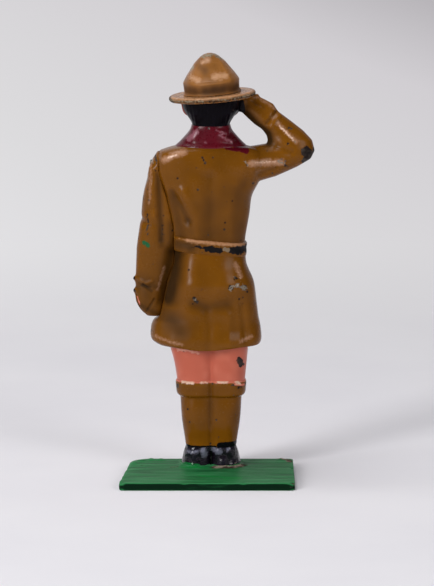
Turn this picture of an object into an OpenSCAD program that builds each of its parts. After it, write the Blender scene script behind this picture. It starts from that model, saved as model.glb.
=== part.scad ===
// Toy figure of a uniformed scout at the salute: painted castings pegged together on a base plate.
// The figure faces -Y and its left hand is on the +X side. Z is up from the underside of the plate,
// and the origin is the middle of that underside. All sizes are in millimetres.

/* [Base plate] */
// Width of the plate
base_w = 32.8; // [28:0.1:40]
// Depth of the plate from its front edge to its rear edge
base_d = 22.8; // [20:0.1:30]
// Thickness of the plate
base_t = 1.45; // [1:0.05:3]
// Radius of three of the plate's corners
base_corner_r = 0.8; // [0.2:0.1:2]
// Radius of the plate's worn front left corner
base_worn_r = 4; // [1:0.5:7]
// How far the worn left edge leans in at the front
base_worn_in = 1.7; // [0:0.1:3]
// Figure's centre line, sideways from the middle of the plate
figure_x = -0.75; // [-4:0.05:4]
// Figure's centre line, front to back from the middle of the plate
figure_y = -5.6; // [-7:0.1:2]

/* [Shoes] */
// Length of a shoe from heel to toe
shoe_l = 7.9; // [6.5:0.1:9]
// Width of a shoe from the centre line between the feet
shoe_w = 5.6; // [5:0.1:7]
// Height of a shoe from the plate to the stocking
shoe_h = 3.9; // [3:0.1:6]
// Reach of the heel behind the figure's centre line
heel_reach = 2.2; // [1.5:0.1:3]

/* [Legs] */
// Width of one leg at the ankle
ankle_w = 4.8; // [4:0.1:5.5]
// Depth of one leg at the ankle
ankle_d = 5; // [4:0.1:6]
// Width of one leg at the calf
calf_w = 5.55; // [5:0.05:6.5]
// Depth of one leg at the calf
calf_d = 6.4; // [5.5:0.1:7.5]
// Width of one leg at the top of the stocking
stocking_top_w = 5.8; // [5.2:0.1:6.4]
// Height of a stocking from the shoe to its turned-over top
stocking_h = 9.3; // [7:0.1:12]
// Width of one turned-over stocking top
cuff_w = 6.6; // [6:0.1:7.2]
// Depth of a turned-over stocking top
cuff_d = 7.6; // [6.8:0.1:8.5]
// Height of a turned-over stocking top
cuff_h = 2.9; // [2:0.1:4]
// Width of one bare knee above the stocking
knee_w = 6.65; // [6:0.05:7.2]
// Width of the left thigh where it goes under the skirt
left_thigh_w = 8; // [7:0.1:8.6]
// Width of the right thigh where it goes under the skirt
right_thigh_w = 7.1; // [6.6:0.1:8]
// Depth of a thigh where it goes under the skirt
thigh_d = 9; // [8:0.1:10.5]
// Height of a bare knee from the stocking to the hem
knee_h = 7.45; // [5:0.05:9]
// Gap between the two legs
leg_gap = 0.06; // [0.04:0.02:0.2]

/* [Tunic] */
// Height of the skirt from its hem to the belt
skirt_h = 18.6; // [16:0.1:22]
// Reach of the hem to the figure's left
hem_left = 11.5; // [9.5:0.1:12.5]
// Reach of the hem to the figure's right
hem_right = 9.6; // [8.5:0.1:11]
// Depth of the hem from front to back
hem_d = 13; // [11:0.1:15]
// Width of the skirt across the hips
hip_w = 16.8; // [15.5:0.1:17.4]
// Depth of the skirt across the seat
hip_d = 11.7; // [10.5:0.1:13]
// Width of the tunic at the waist
waist_w = 13; // [11.5:0.1:14]
// Depth of the tunic at the waist
waist_d = 9.3; // [8.5:0.1:10.5]
// Height of the belt
belt_h = 1.8; // [1.2:0.1:3]
// How far the belt stands out from the waist
belt_t = 0.32; // [0.1:0.02:0.6]
// Width of the belt's buckle
buckle_w = 2.8; // [2:0.1:4]
// Thickness of the belt's buckle
buckle_t = 0.45; // [0.3:0.05:0.8]
// Height of the tunic's upper part from the belt to the collar
torso_h = 17; // [15:0.1:19]
// Width of the chest under the arms
chest_w = 15.4; // [14:0.1:16.4]
// Depth of the chest
chest_d = 11; // [10:0.1:12]
// Width of the shoulders before they are cut for the arms
shoulder_w = 20.8; // [20:0.1:22]
// Width of the tunic's top under the neckerchief
collar_w = 15.6; // [14.4:0.1:16.2]
// Depth of the tunic's top under the neckerchief
collar_d = 7.9; // [7.7:0.1:9]
// Left shoulder's flat, from the centre line, that the swinging arm turns against
left_shoulder_x = 9.6; // [9:0.1:10]
// Right shoulder's flat, from the centre line, that the saluting arm is joined to
right_shoulder_x = 8.2; // [7.9:0.1:9]

/* [Neckerchief] */
// Height of the neckerchief from the tunic to the chin
neckerchief_h = 4.1; // [3:0.1:5]
// Width of the neckerchief where it lies on the shoulders
neckerchief_w = 14; // [12:0.1:14.4]
// Depth of the neckerchief where it lies on the shoulders
neckerchief_d = 7.7; // [7:0.1:7.7]
// Length of the neckerchief's tails below the collar
tail_l = 5.6; // [4:0.1:8]
// Width of the neckerchief's knot
knot_w = 2.6; // [2:0.1:3.4]
// Thickness of the knot and tails
knot_t = 0.9; // [0.6:0.05:1.4]

/* [Head and hat] */
// Width of the neck
neck_w = 7.1; // [6.4:0.1:7.6]
// Depth of the neck
neck_d = 6.6; // [6:0.1:7]
// Width of the head under the hat
head_w = 10.8; // [10:0.1:11.6]
// Depth of the head under the hat
head_d = 10; // [9:0.1:11]
// Height of the head from the chin to the hat's brim
head_h = 4.85; // [4:0.05:6]
// Hairline, behind the figure's centre line
hairline_y = 1; // [0:0.1:2]
// Radius of the hat's brim
brim_r = 8.2; // [7.6:0.1:8.4]
// Thickness of the hat's brim
brim_t = 1.25; // [0.9:0.05:1.8]
// Width of the hat's crown
crown_w = 10.6; // [9.6:0.1:12]
// Depth of the hat's crown
crown_d = 11.2; // [10:0.1:12.4]
// Height of the hat's crown above the brim
crown_h = 7.4; // [6:0.1:9]
// Lean of the hat towards the figure's left, in degrees
hat_lean = 4.5; // [0:0.5:6]
// Hat's centre, sideways from the figure's centre line
hat_x = -0.3; // [-0.6:0.1:0.4]
// Hat's centre, front to back from the figure's centre line
hat_y = -0.3; // [-1:0.1:1]

/* [Saluting arm] */
// Reach of the elbow past the right shoulder's flat
elbow_reach = 11.3; // [10:0.1:13]
// Width of the sleeve
sleeve_w = 5.8; // [5:0.1:6.4]
// Depth of the sleeve from front to back
sleeve_d = 5.6; // [4.6:0.1:6.4]
// Drop of the saluting arm's middle below the tunic's top, where it leaves the shoulder
salute_drop = 3.3; // [3:0.1:3.6]
// How far in front of the figure's centre line the saluting hand meets the brim
salute_reach = 2; // [1:0.1:3]

/* [Swinging arm] */
// Thickness of the arm at the shoulder
arm_shoulder_t = 2.2; // [2:0.05:2.6]
// How far the arm's outer side stands out further at the cuff than at the shoulder
arm_flare = 2.15; // [1.5:0.05:3]
// Drop of the stud that the arm turns on below the tunic's top
stud_drop = 3.8; // [3.5:0.1:4.2]
// Depth of the arm from front to back
arm_d = 6; // [5:0.1:7]
// Length of the sleeve from the stud to the cuff
arm_sleeve_l = 20.4; // [18:0.1:21.5]
// Length of the hand below the cuff
arm_hand_l = 8; // [7:0.1:8.4]
// Width of the hand
arm_hand_w = 5.75; // [5:0.05:6.2]
// Radius of the stud that the arm turns on
stud_r = 0.9; // [0.7:0.05:1.1]
// Radius of the stud's peened head
stud_head_r = 1.35; // [1.2:0.05:1.6]

/* [Joins] */
// Radius of the spigots under the shoes
foot_spigot_r = 1.2; // [0.8:0.05:1.5]
// Radius of the spigots through the legs
leg_spigot_r = 1.5; // [1:0.05:1.7]
// Radius of the spigot through the belt
waist_spigot_r = 3; // [2:0.1:3.6]
// Radius of the spigot through the neckerchief
neck_spigot_r = 2.2; // [1.6:0.1:2.6]
// Radius of the spigot through the hat's brim
hat_spigot_r = 2.8; // [2:0.1:3.2]
// Radius of the pegs in the saluting arm
arm_peg_r = 0.9; // [0.6:0.05:1.1]
// Length of a spigot or peg past the piece that it is seated in
peg_l = 1.8; // [1.2:0.1:2]
// Clearance of a spigot or peg in its hole
peg_clearance = 0.03; // [0.02:0.01:0.08]
// Running clearance of the swinging arm on its stud
stud_clearance = 0.05; // [0.02:0.01:0.09]
// Gap between the swinging arm and the body beside it
arm_gap = 0.25; // [0.2:0.05:0.5]

/* [Hidden] */

khaki = "#80561f";
hat_tan = "#a5743c";
flesh = "#cf7862";
black = "#1a1519";
navy = "#15131c";
maroon = "#6a0f22";
green = "#236b42";
bare_metal = "#8d8a84";

// Number of points around an outline, by the size of the piece
body_sides = 32;
limb_sides = 24;
corner_steps = 8;
$fn = 48;
// Rings that the curve between two key sections is drawn with
steps = 2;
// Squareness of an outline: 1 is an oval and smaller is squarer
body_round_share = 0.8;
limb_round_share = 0.9;
// Share of a leg's width that is its half width, so that the legs meet in a flat
leg_half_share = 0.56;
// How far cuts and spigot roots run into the piece
overrun = 0.6;

// Heights at which the pieces meet, from the plate up
z_ankle = base_t + shoe_h;
z_cuff = z_ankle + stocking_h;
z_knee = z_cuff + cuff_h;
z_hem = z_knee + knee_h;
z_belt = z_hem + skirt_h;
z_torso = z_belt + belt_h;
z_collar = z_torso + torso_h;
z_neck = z_collar + neckerchief_h;
z_brim = z_neck + head_h;
z_stud = z_collar - stud_drop;
z_salute = z_collar - salute_drop;

// Curves and outlines

function lerp(a, b, t) = a + (b - a) * t;
function signed_pow(v, p) = sign(v) * pow(abs(v), p);
function middle(ring) = ([for (p = ring) 1] * ring) / len(ring);

// A point on the smooth curve through rows of numbers, between row i and the next
function curve_row(rows, i, t) =
    let (last = len(rows) - 1,
         a = rows[max(i - 1, 0)], b = rows[i], c = rows[min(i + 1, last)], d = rows[min(i + 2, last)])
    (2 * b + (c - a) * t + (2 * a - 5 * b + 4 * c - d) * t * t + (3 * b - a - 3 * c + d) * t * t * t) / 2;
function curve(rows) =
    [for (i = [0 : len(rows) - 2]) for (s = [0 : steps - 1]) curve_row(rows, i, s / steps),
     rows[len(rows) - 1]];

// A level outline that reaches left, right, front and back of a centre line
function outline(z, left, right, front, back, round_share, sides) =
    let (cx = (left - right) / 2, cy = (back - front) / 2, hx = (left + right) / 2, hy = (back + front) / 2)
    [for (i = [0 : sides - 1]) let (a = 360 * i / sides)
        [cx + hx * signed_pow(cos(a), round_share), cy + hy * signed_pow(sin(a), round_share), z]];
function body_ring(row) = outline(row[0], row[1], row[2], row[3], row[4], body_round_share, body_sides);
function limb_ring(row) = outline(row[0], row[1], row[2], row[3], row[4], limb_round_share, limb_sides);

function cut_left(ring, x) = [for (p = ring) [min(p.x, x), p.y, p.z]];
function cut_right(ring, x) = [for (p = ring) [max(p.x, -x), p.y, p.z]];
function cut_back(ring, y) = [for (p = ring) [p.x, min(p.y, y), p.z]];
// The part of a level outline behind a line, closed along that line
function arc_behind(row, y) =
    let (cx = (row[1] - row[2]) / 2,
         hx = (row[1] + row[2]) / 2,
         cy = (row[4] - row[3]) / 2,
         hy = (row[4] + row[3]) / 2,
         start = asin(signed_pow((y - cy) / hy, 1 / body_round_share)))
    [for (i = [0 : body_sides - 1]) let (a = lerp(start, 180 - start, i / (body_sides - 1)))
        [cx + hx * signed_pow(cos(a), body_round_share),
         cy + hy * signed_pow(sin(a), body_round_share),
         row[0]]];

// A solid through a stack of outlines with the same number of points
module loft(rings) {
    n = len(rings[0]);
    top = len(rings) - 1;
    base_point = n * len(rings);
    polyhedron(
        points = [for (r = rings) each r, middle(rings[0]), middle(rings[top])],
        faces = [
            for (k = [0 : top - 1]) for (i = [0 : n - 1]) let (j = (i + 1) % n)
                each [[k * n + i, (k + 1) * n + i, (k + 1) * n + j], [k * n + i, (k + 1) * n + j, k * n + j]],
            for (i = [0 : n - 1]) let (j = (i + 1) % n)
                each [[base_point, i, j], [base_point + 1, top * n + j, top * n + i]]],
        convexity = 6);
}

module at_figure() { translate([figure_x, figure_y, 0]) children(); }
module on_side(side) { mirror([side < 0 ? 1 : 0, 0, 0]) children(); }
module at_hat() { translate([hat_x, hat_y, z_brim]) rotate([0, hat_lean, 0]) children(); }

// A peg that stands up from z, rooted in the piece below, and the hole that takes one
module peg_up(r, z, l) { translate([0, 0, z - overrun]) cylinder(r = r, h = overrun + l); }
module peg_down(r, z, l) { translate([0, 0, z - l]) cylinder(r = r, h = l + overrun); }
module hole_up(r, z, l) {
    translate([0, 0, z - overrun]) cylinder(r = r + peg_clearance, h = overrun + l + peg_clearance);
}
module hole_down(r, z, l) {
    translate([0, 0, z - l - peg_clearance]) cylinder(r = r + peg_clearance, h = l + overrun + peg_clearance);
}

// Base plate

function corner(x, y, r, start) =
    [for (i = [0 : corner_steps]) let (a = start + 90 * i / corner_steps) [x + r * cos(a), y + r * sin(a)]];

module base_plate() {
    w = base_w / 2;
    d = base_d / 2;
    c = base_corner_r;
    color(green) difference() {
        linear_extrude(base_t) polygon([
            each corner(w - c, d - c, c, 0),
            each corner(c - w, d - c, c, 90),
            each corner(c - w, c - d, c, 180),
            each corner(w - base_worn_in - base_worn_r, base_worn_r - d, base_worn_r, 270)]);
        at_figure() for (side = [-1, 1]) on_side(side) translate([leg_axis_x, foot_axis_y, -overrun])
            cylinder(r = foot_spigot_r + peg_clearance, h = base_t + 2 * overrun);
    }
}

// Legs, each drawn as the left one and mirrored for the right

// Axis of the leg's spigots, and of the spigot under the shoe, as shares of the leg
leg_axis_share = 0.5;
foot_axis_share = 0.12;
leg_axis_x = ankle_w * leg_axis_share;
foot_axis_y = -shoe_l * foot_axis_share;

// An outline of one leg: height, outer reach, front reach and back reach, flat where the legs meet
function leg_ring(row) =
    cut_at_gap(outline(row[0], row[1], row[1] * (2 * leg_half_share - 1), row[2], row[3],
                             limb_round_share, limb_sides));
function cut_at_gap(ring) = [for (p = ring) [max(p.x, leg_gap / 2), p.y, p.z]];

// Shoe sections: shares of its height, width, toe reach and heel reach
shoe_shares = [
    [0.00, 0.98, 0.97, 0.96],
    [0.22, 1.00, 1.00, 1.04],
    [0.48, 0.97, 0.90, 1.04],
    [0.72, 0.92, 0.62, 1.02]];
toe_reach = shoe_l - heel_reach;
shoe_rows = [
    for (s = shoe_shares) [base_t + s[0] * shoe_h, s[1] * shoe_w, s[2] * toe_reach, s[3] * heel_reach],
    [z_ankle, ankle_w, ankle_d / 2, ankle_d / 2]];

module shoe(side) {
    color(black) at_figure() on_side(side) difference() {
        union() {
            loft([for (row = curve(shoe_rows)) leg_ring(row)]);
            translate([leg_axis_x, foot_axis_y, 0]) peg_down(foot_spigot_r, base_t, base_t - peg_clearance);
        }
        translate([leg_axis_x, 0, 0]) hole_down(leg_spigot_r, z_ankle, peg_l);
    }
}
module left_shoe() { shoe(1); }
module right_shoe() { shoe(-1); }

// Where the calf is fullest, and how far it leans back, as shares
calf_height_share = 0.55;
calf_back_share = 0.55;
// Depth of the stocking's top as a share of the calf's
stocking_top_share = 0.98;
z_calf = z_ankle + calf_height_share * stocking_h;
stocking_top_d = calf_d * stocking_top_share;
stocking_rows = [
    [z_ankle, ankle_w, ankle_d / 2, ankle_d / 2],
    [z_calf, calf_w, calf_d * (1 - calf_back_share), calf_d * calf_back_share],
    [z_cuff, stocking_top_w, stocking_top_d / 2, stocking_top_d / 2]];

module stocking(side) {
    color(khaki) at_figure() on_side(side) {
        loft([for (row = curve(stocking_rows)) leg_ring(row)]);
        translate([leg_axis_x, 0, 0]) {
            peg_up(leg_spigot_r, z_cuff, cuff_h + peg_l);
            peg_down(leg_spigot_r, z_ankle, peg_l);
        }
    }
}
module left_stocking() { stocking(1); }
module right_stocking() { stocking(-1); }

// Sections of the turned-over top: shares of its height and of its width and depth
cuff_shares = [[0, 0.92], [0.2, 0.98], [0.55, 1], [0.85, 1], [1, 0.96]];
module stocking_cuff(side) {
    color(khaki) at_figure() on_side(side) difference() {
        loft([for (s = cuff_shares)
            leg_ring([z_cuff + s[0] * cuff_h, s[1] * cuff_w, s[1] * cuff_d / 2, s[1] * cuff_d / 2])]);
        translate([leg_axis_x, 0, 0]) hole_up(leg_spigot_r, z_cuff, cuff_h + overrun);
    }
}
module left_stocking_cuff() { stocking_cuff(1); }
module right_stocking_cuff() { stocking_cuff(-1); }

// Depth of the knee just above the stocking as a share of the thigh's
knee_depth_share = 0.84;
// Where the knee starts to widen into the thigh, as shares of its height and of the widening
thigh_start_share = 0.5;
thigh_widening_share = 0.2;
module knee(side, thigh_w) {
    low_d = thigh_d * knee_depth_share / 2;
    mid_d = lerp(low_d, thigh_d / 2, thigh_widening_share);
    rows = [
        [z_knee, knee_w, low_d, low_d],
        [z_knee + thigh_start_share * knee_h, lerp(knee_w, thigh_w, thigh_widening_share), mid_d, mid_d],
        [z_hem, thigh_w, thigh_d / 2, thigh_d / 2]];
    color(flesh) at_figure() on_side(side) difference() {
        union() {
            loft([for (row = curve(rows)) leg_ring(row)]);
            translate([leg_axis_x, 0, 0]) peg_up(leg_spigot_r, z_hem, peg_l);
        }
        translate([leg_axis_x, 0, 0]) hole_up(leg_spigot_r, z_knee, peg_l);
    }
}
module left_knee() { knee(1, left_thigh_w); }
module right_knee() { knee(-1, right_thigh_w); }

// Tunic

// Skirt sections from the hem up: height, then left and right reach, front and back reach
hem_lip_share = 0.97;
hem_left_lip_share = 0.87;
hem_lip_d = hem_d * hem_lip_share;
flare_right = lerp(hip_w / 2, hem_right, 0.45);
skirt_rows = [
    [z_hem, hem_left * hem_left_lip_share, hem_right * hem_lip_share, hem_lip_d / 2, hem_lip_d / 2],
    [z_hem + 0.055 * skirt_h, hem_left, hem_right, hem_d / 2, hem_d / 2],
    [z_hem + 0.16 * skirt_h, 0.99 * hem_left, 0.98 * hem_right, 0.49 * hem_d, 0.49 * hem_d],
    [z_hem + 0.29 * skirt_h, 0.56 * hip_w, flare_right, 0.475 * hip_d, 0.495 * hip_d],
    [z_hem + 0.45 * skirt_h, 0.52 * hip_w, 0.51 * hip_w, 0.465 * hip_d, 0.495 * hip_d],
    [z_hem + 0.64 * skirt_h, 0.48 * hip_w, 0.48 * hip_w, 0.47 * hip_d, 0.5 * hip_d],
    [z_hem + 0.82 * skirt_h, 0.52 * waist_w, 0.515 * waist_w, 0.525 * waist_d, 0.56 * waist_d],
    [z_belt, waist_w / 2, waist_w / 2, waist_d / 2, waist_d / 2]];
skirt_curve = curve(skirt_rows);

module tunic_skirt() {
    color(khaki) at_figure() difference() {
        loft([for (row = skirt_curve) body_ring(row)]);
        for (side = [-1, 1]) on_side(side) translate([leg_axis_x, 0, 0])
            hole_up(leg_spigot_r, z_hem, peg_l);
        hole_down(waist_spigot_r, z_belt, peg_l);
    }
}

// Roll of the belt's edges as a share of how far it stands out
belt_edge_share = 0.5;
function belt_row(z, out) = [z, waist_w / 2 + out, waist_w / 2 + out, waist_d / 2 + out, waist_d / 2 + out];
module belt() {
    color(khaki) at_figure() difference() {
        loft([for (row = [
            belt_row(z_belt, belt_t * belt_edge_share),
            belt_row(z_belt + belt_t, belt_t),
            belt_row(z_torso - belt_t, belt_t),
            belt_row(z_torso, belt_t * belt_edge_share)]) body_ring(row)]);
        hole_up(waist_spigot_r, z_belt, belt_h + overrun);
    }
}

// Buckle: height as a share of the belt's, and its frame's opening as a share of the plate
buckle_height_share = 0.94;
buckle_open_share = 0.5;
module belt_buckle() {
    h = belt_h * buckle_height_share;
    rim = h * (1 - buckle_open_share) / 2;
    front = waist_d / 2 + belt_t + peg_clearance;
    low = z_belt + (belt_h - h) / 2;
    color(bare_metal) at_figure() translate([-buckle_w / 2, -front - buckle_t, low]) difference() {
        cube([buckle_w, buckle_t, h]);
        translate([rim, -overrun, rim]) cube([buckle_w - 2 * rim, overrun + buckle_t / 2, h - 2 * rim]);
    }
}

// Torso sections: shares of its height, then left and right reach, front and back reach
torso_rows = [
    [z_torso, waist_w / 2, waist_w / 2, waist_d / 2, waist_d / 2],
    [z_torso + 0.25 * torso_h, 0.485 * chest_w, 0.47 * chest_w, 0.475 * chest_d, 0.46 * chest_d],
    [z_torso + 0.45 * torso_h, 0.54 * chest_w, chest_w / 2, 0.51 * chest_d, 0.49 * chest_d],
    [z_torso + 0.60 * torso_h, 0.45 * shoulder_w, 0.43 * shoulder_w, 0.515 * chest_d, 0.49 * chest_d],
    [z_torso + 0.78 * torso_h, shoulder_w / 2, shoulder_w / 2, 0.48 * chest_d, 0.465 * chest_d],
    [z_torso + 0.92 * torso_h, 0.475 * shoulder_w, 0.475 * shoulder_w, 0.41 * chest_d, 0.42 * chest_d],
    [z_collar, collar_w / 2, collar_w / 2, collar_d / 2, collar_d / 2]];
torso_curve = curve(torso_rows);

module tunic_body() {
    color(khaki) at_figure() difference() {
        union() {
            loft([for (row = torso_curve)
                cut_left(cut_right(body_ring(row), right_shoulder_x), left_shoulder_x)]);
            peg_down(waist_spigot_r, z_torso, belt_h + peg_l);
        }
        hole_down(neck_spigot_r, z_collar, peg_l);
        along_stud(left_shoulder_x) hole_down(stud_r, 0, stud_root);
        translate([-right_shoulder_x, salute_y(0), z_salute]) rotate([0, 90, 0])
            hole_up(arm_peg_r, 0, peg_l);
    }
}

// Neckerchief

// Sections of the wrap: shares of its height, and of the way from shoulders to neck in width and depth
neckerchief_shares = [[0, 0, 0], [0.26, 0.36, 0.3], [0.52, 0.64, 0.6], [0.78, 0.9, 0.86], [1, 1, 1]];
function neckerchief_row(s) =
    let (w = lerp(neckerchief_w, neck_w, s[1]) / 2, d = lerp(neckerchief_d, neck_d, s[2]) / 2)
    [z_collar + s[0] * neckerchief_h, w, w, d, d];

module neckerchief() {
    color(maroon) at_figure() difference() {
        loft([for (s = neckerchief_shares) body_ring(neckerchief_row(s))]);
        hole_up(neck_spigot_r, z_collar, neckerchief_h + overrun);
    }
}

// Front of the figure at a height, from the tunic up over the neckerchief
function front_at(z) = z < z_collar
    ? lookup(z, [for (row = torso_curve) [row[0], row[3]]])
    : lookup(z, [for (s = neckerchief_shares) let (row = neckerchief_row(s)) [row[0], row[3]]]);

// Knot and tails from the tails' ends up: shares of height, with shares of knot width and thickness
knot_rise_share = 0.4;
knot_width_shares = [[0, 0.55], [0.12, 0.8], [0.5, 0.62], [0.7, 0.45], [0.8, 0.5], [1, 0.4]];
knot_thickness_shares = [[0, 0.5], [0.12, 0.6], [0.5, 0.7], [0.7, 0.8], [0.8, 1], [1, 0.9]];
knot_rings = 14;
// Gap that keeps the tails just off the chest's curve
knot_gap = 2 * peg_clearance;
module neckerchief_knot() {
    low = z_collar - tail_l;
    high = z_collar + knot_rise_share * neckerchief_h;
    color(maroon) at_figure() loft([for (k = [0 : knot_rings])
        let (s = k / knot_rings,
             z = lerp(low, high, s),
             w = knot_w * lookup(s, knot_width_shares),
             t = knot_t * lookup(s, knot_thickness_shares),
             back = max(front_at(z), front_at(z_collar)) + knot_gap)
        limb_ring([z, w, w, back + t, -back])]);
}

// Head and hat

function hat_plane(x) = z_brim - (x - hat_x) * tan(hat_lean);
// Head sections: shares of its height, of the way from neck to head in width, and of its depth to the
// front and to the back
head_shares = [
    [0, 0, 0.33, 0.33],
    [0.14, 0.12, 0.44, 0.36],
    [0.32, 0.42, 0.5, 0.4],
    [0.55, 0.85, 0.52, 0.45],
    [0.75, 1, 0.52, 0.48]];
head_top_shares = [0.51, 0.49];
head_rows = [
    for (s = head_shares) let (w = lerp(neck_w, head_w, s[1]) / 2)
        [z_neck + s[0] * head_h, w, w, s[2] * head_d, s[3] * head_d]];
head_top_row = [z_brim, head_w / 2, head_w / 2, head_top_shares[0] * head_d, head_top_shares[1] * head_d];
function under_hat(ring) = [for (p = ring) [p.x, p.y, hat_plane(p.x)]];

module head() {
    color(flesh) at_figure() {
        loft([for (row = curve(head_rows)) cut_back(body_ring(row), hairline_y),
              under_hat(cut_back(body_ring(head_top_row), hairline_y))]);
        peg_down(neck_spigot_r, z_neck, neckerchief_h + peg_l);
        at_hat() peg_up(hat_spigot_r, 0, brim_t + peg_l);
    }
}

module hair() {
    color(navy) at_figure() difference() {
        loft([for (row = curve(head_rows)) arc_behind(row, hairline_y),
              under_hat(arc_behind(head_top_row, hairline_y))]);
        hole_up(neck_spigot_r, z_neck, overrun);
        at_hat() hole_down(hat_spigot_r, 0, overrun);
    }
}

module hat_brim() {
    bore_r = hat_spigot_r + peg_clearance;
    color(hat_tan) at_figure() at_hat() rotate_extrude($fn = 96) {
        translate([bore_r, 0]) square([brim_r - brim_t / 2 - bore_r, brim_t]);
        translate([brim_r - brim_t / 2, brim_t / 2]) circle(d = brim_t);
    }
}

// Crown sections: shares of its height and radius, and the depth of its four dents
crown_shares = [
    [0, 1.04, 0],
    [0.07, 0.98, 0],
    [0.3, 1, 0.01],
    [0.38, 0.99, 0.06],
    [0.48, 0.97, 0.15],
    [0.62, 0.86, 0.24],
    [0.78, 0.66, 0.26],
    [0.88, 0.46, 0.2],
    [0.95, 0.28, 0.1],
    [1, 0.08, 0]];
function crown_ring(s) =
    [for (i = [0 : body_sides - 1])
        let (a = 360 * i / body_sides, r = s[1] * (1 - s[2] * (1 + cos(4 * a)) / 2) / 2)
        [r * crown_w * cos(a), r * crown_d * sin(a), brim_t + s[0] * crown_h]];

module hat_crown() {
    color(hat_tan) at_figure() at_hat() difference() {
        loft([for (s = crown_shares) crown_ring(s)]);
        hole_up(hat_spigot_r, brim_t, peg_l);
    }
}

// Saluting arm

// Sections from shoulder to brim: the middle as shares of the elbow's reach and of the rise to the brim,
// a share of the sleeve's width, the section's turn in degrees, and shares of the sleeve's depth and of
// the reach forward
arm_sections = [
    [0.00, 0.00, 0.595, 90, 1.18, 0.00],
    [0.24, 0.055, 0.565, 67, 1.05, 0.06],
    [0.45, 0.13, 0.63, 36, 0.98, 0.12],
    [0.565, 0.19, 0.755, 18.5, 0.94, 0.18],
    [0.60, 0.255, 0.785, 8, 0.92, 0.24],
    [0.585, 0.36, 0.72, 0, 0.90, 0.32],
    [0.505, 0.465, 0.605, -6.5, 0.86, 0.44],
    [0.37, 0.58, 0.50, -14, 0.82, 0.58],
    [0.195, 0.695, 0.435, -29, 0.74, 0.72],
    [0.10, 0.795, 0.47, -30, 0.66, 0.84],
    [-0.027, 0.886, 0.412, -27, 0.52, 0.94]];
elbow_section = 4;
wrist_section = 8;
// Where the fingers meet the brim as a share of its radius, and how wide and deep they are there as shares
// of the sleeve
touch_share = 0.844;
finger_share = 0.2535;
finger_depth_share = 0.4;

function salute_y(i) = -salute_reach * arm_sections[i][5];
function arm_middle(i) = [-right_shoulder_x - arm_sections[i][0] * elbow_reach, salute_y(i),
                          z_salute + arm_sections[i][1] * (z_brim - z_salute)];
function tilted_ring(middle_point, half_w, turn, half_d) =
    [for (k = [0 : limb_sides - 1]) let (a = 360 * k / limb_sides)
        middle_point + [half_w * cos(a) * cos(turn), half_d * sin(a), half_w * cos(a) * sin(turn)]];
function arm_ring(i) = tilted_ring(arm_middle(i), arm_sections[i][2] * sleeve_w, arm_sections[i][3],
                                   arm_sections[i][4] * sleeve_d / 2);
touch_x = hat_x - touch_share * brim_r;
finger_ring = tilted_ring([touch_x, -salute_reach, hat_plane(touch_x)],
                          finger_share * sleeve_w / cos(hat_lean), -hat_lean,
                          finger_depth_share * sleeve_d / 2);

module at_section(i) { translate(arm_middle(i)) rotate([0, -arm_sections[i][3], 0]) children(); }

module right_upper_arm() {
    color(khaki) at_figure() difference() {
        union() {
            loft([for (i = [0 : elbow_section]) arm_ring(i)]);
            at_section(0) peg_down(arm_peg_r, 0, peg_l);
        }
        at_section(elbow_section) hole_down(arm_peg_r, 0, peg_l);
    }
}

module right_forearm() {
    color(khaki) at_figure() difference() {
        union() {
            loft([for (i = [elbow_section : wrist_section]) arm_ring(i)]);
            at_section(elbow_section) peg_down(arm_peg_r, 0, peg_l);
        }
        at_section(wrist_section) hole_down(arm_peg_r, 0, peg_l);
    }
}

module right_hand() {
    color(khaki) at_figure() {
        loft([for (i = [wrist_section : len(arm_sections) - 1]) arm_ring(i), finger_ring]);
        at_section(wrist_section) peg_down(arm_peg_r, 0, peg_l);
    }
}

// Swinging arm

stud_root = 2 * stud_r;
arm_inner_x = left_shoulder_x + arm_gap;
arm_reach = arm_shoulder_t + arm_flare;
// Where the shoulder's flat ends, as shares of the chest's depth out from the stud, and what is left of
// its reach there
flat_end_share = 0.26;
flat_clear_share = 0.4;
flat_left_share = 0.88;
// How far the body reaches to the left at a height, and how far it does where the arm can swing past it
function body_left(z) = z > z_torso
    ? min(left_shoulder_x, lookup(z, [for (row = torso_curve) [row[0], row[1]]]))
    : max(z > z_belt - belt_t ? waist_w / 2 + belt_t : 0,
          lookup(z, [for (row = skirt_curve) [row[0], row[1]]]));
function swing_left(z) = max(body_left(z), lookup(abs(z_stud - z), [
    [flat_end_share * chest_d, left_shoulder_x],
    [flat_clear_share * chest_d, flat_left_share * left_shoulder_x],
    [chest_d, 0]]));
// Sleeve sections: shares of the sleeve's length down from the stud, of the flare, and of the half depth
sleeve_shares = [
    [-0.14, -0.88, 0.50], [-0.11, -0.72, 0.70], [-0.06, -0.43, 0.90], [-0.01, -0.14, 1.00],
    [0.05, 0.02, 1.00], [0.10, 0.07, 1.00], [0.14, 0.12, 1.00], [0.18, 0.19, 1.00],
    [0.23, 0.28, 0.99], [0.31, 0.40, 0.98], [0.43, 0.51, 0.97], [0.56, 0.67, 0.96],
    [0.64, 0.78, 0.95], [0.75, 0.92, 0.94], [0.80, 0.94, 0.92], [0.90, 0.97, 0.88], [1.00, 1.02, 0.84]];
function sleeve_row(s) =
    let (z = z_stud - s[0] * arm_sleeve_l,
         outer = arm_inner_x + arm_shoulder_t + s[1] * arm_flare,
         half_d = s[2] * arm_d / 2)
    [z, outer, -swing_left(z) - arm_gap, half_d, half_d];
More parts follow.
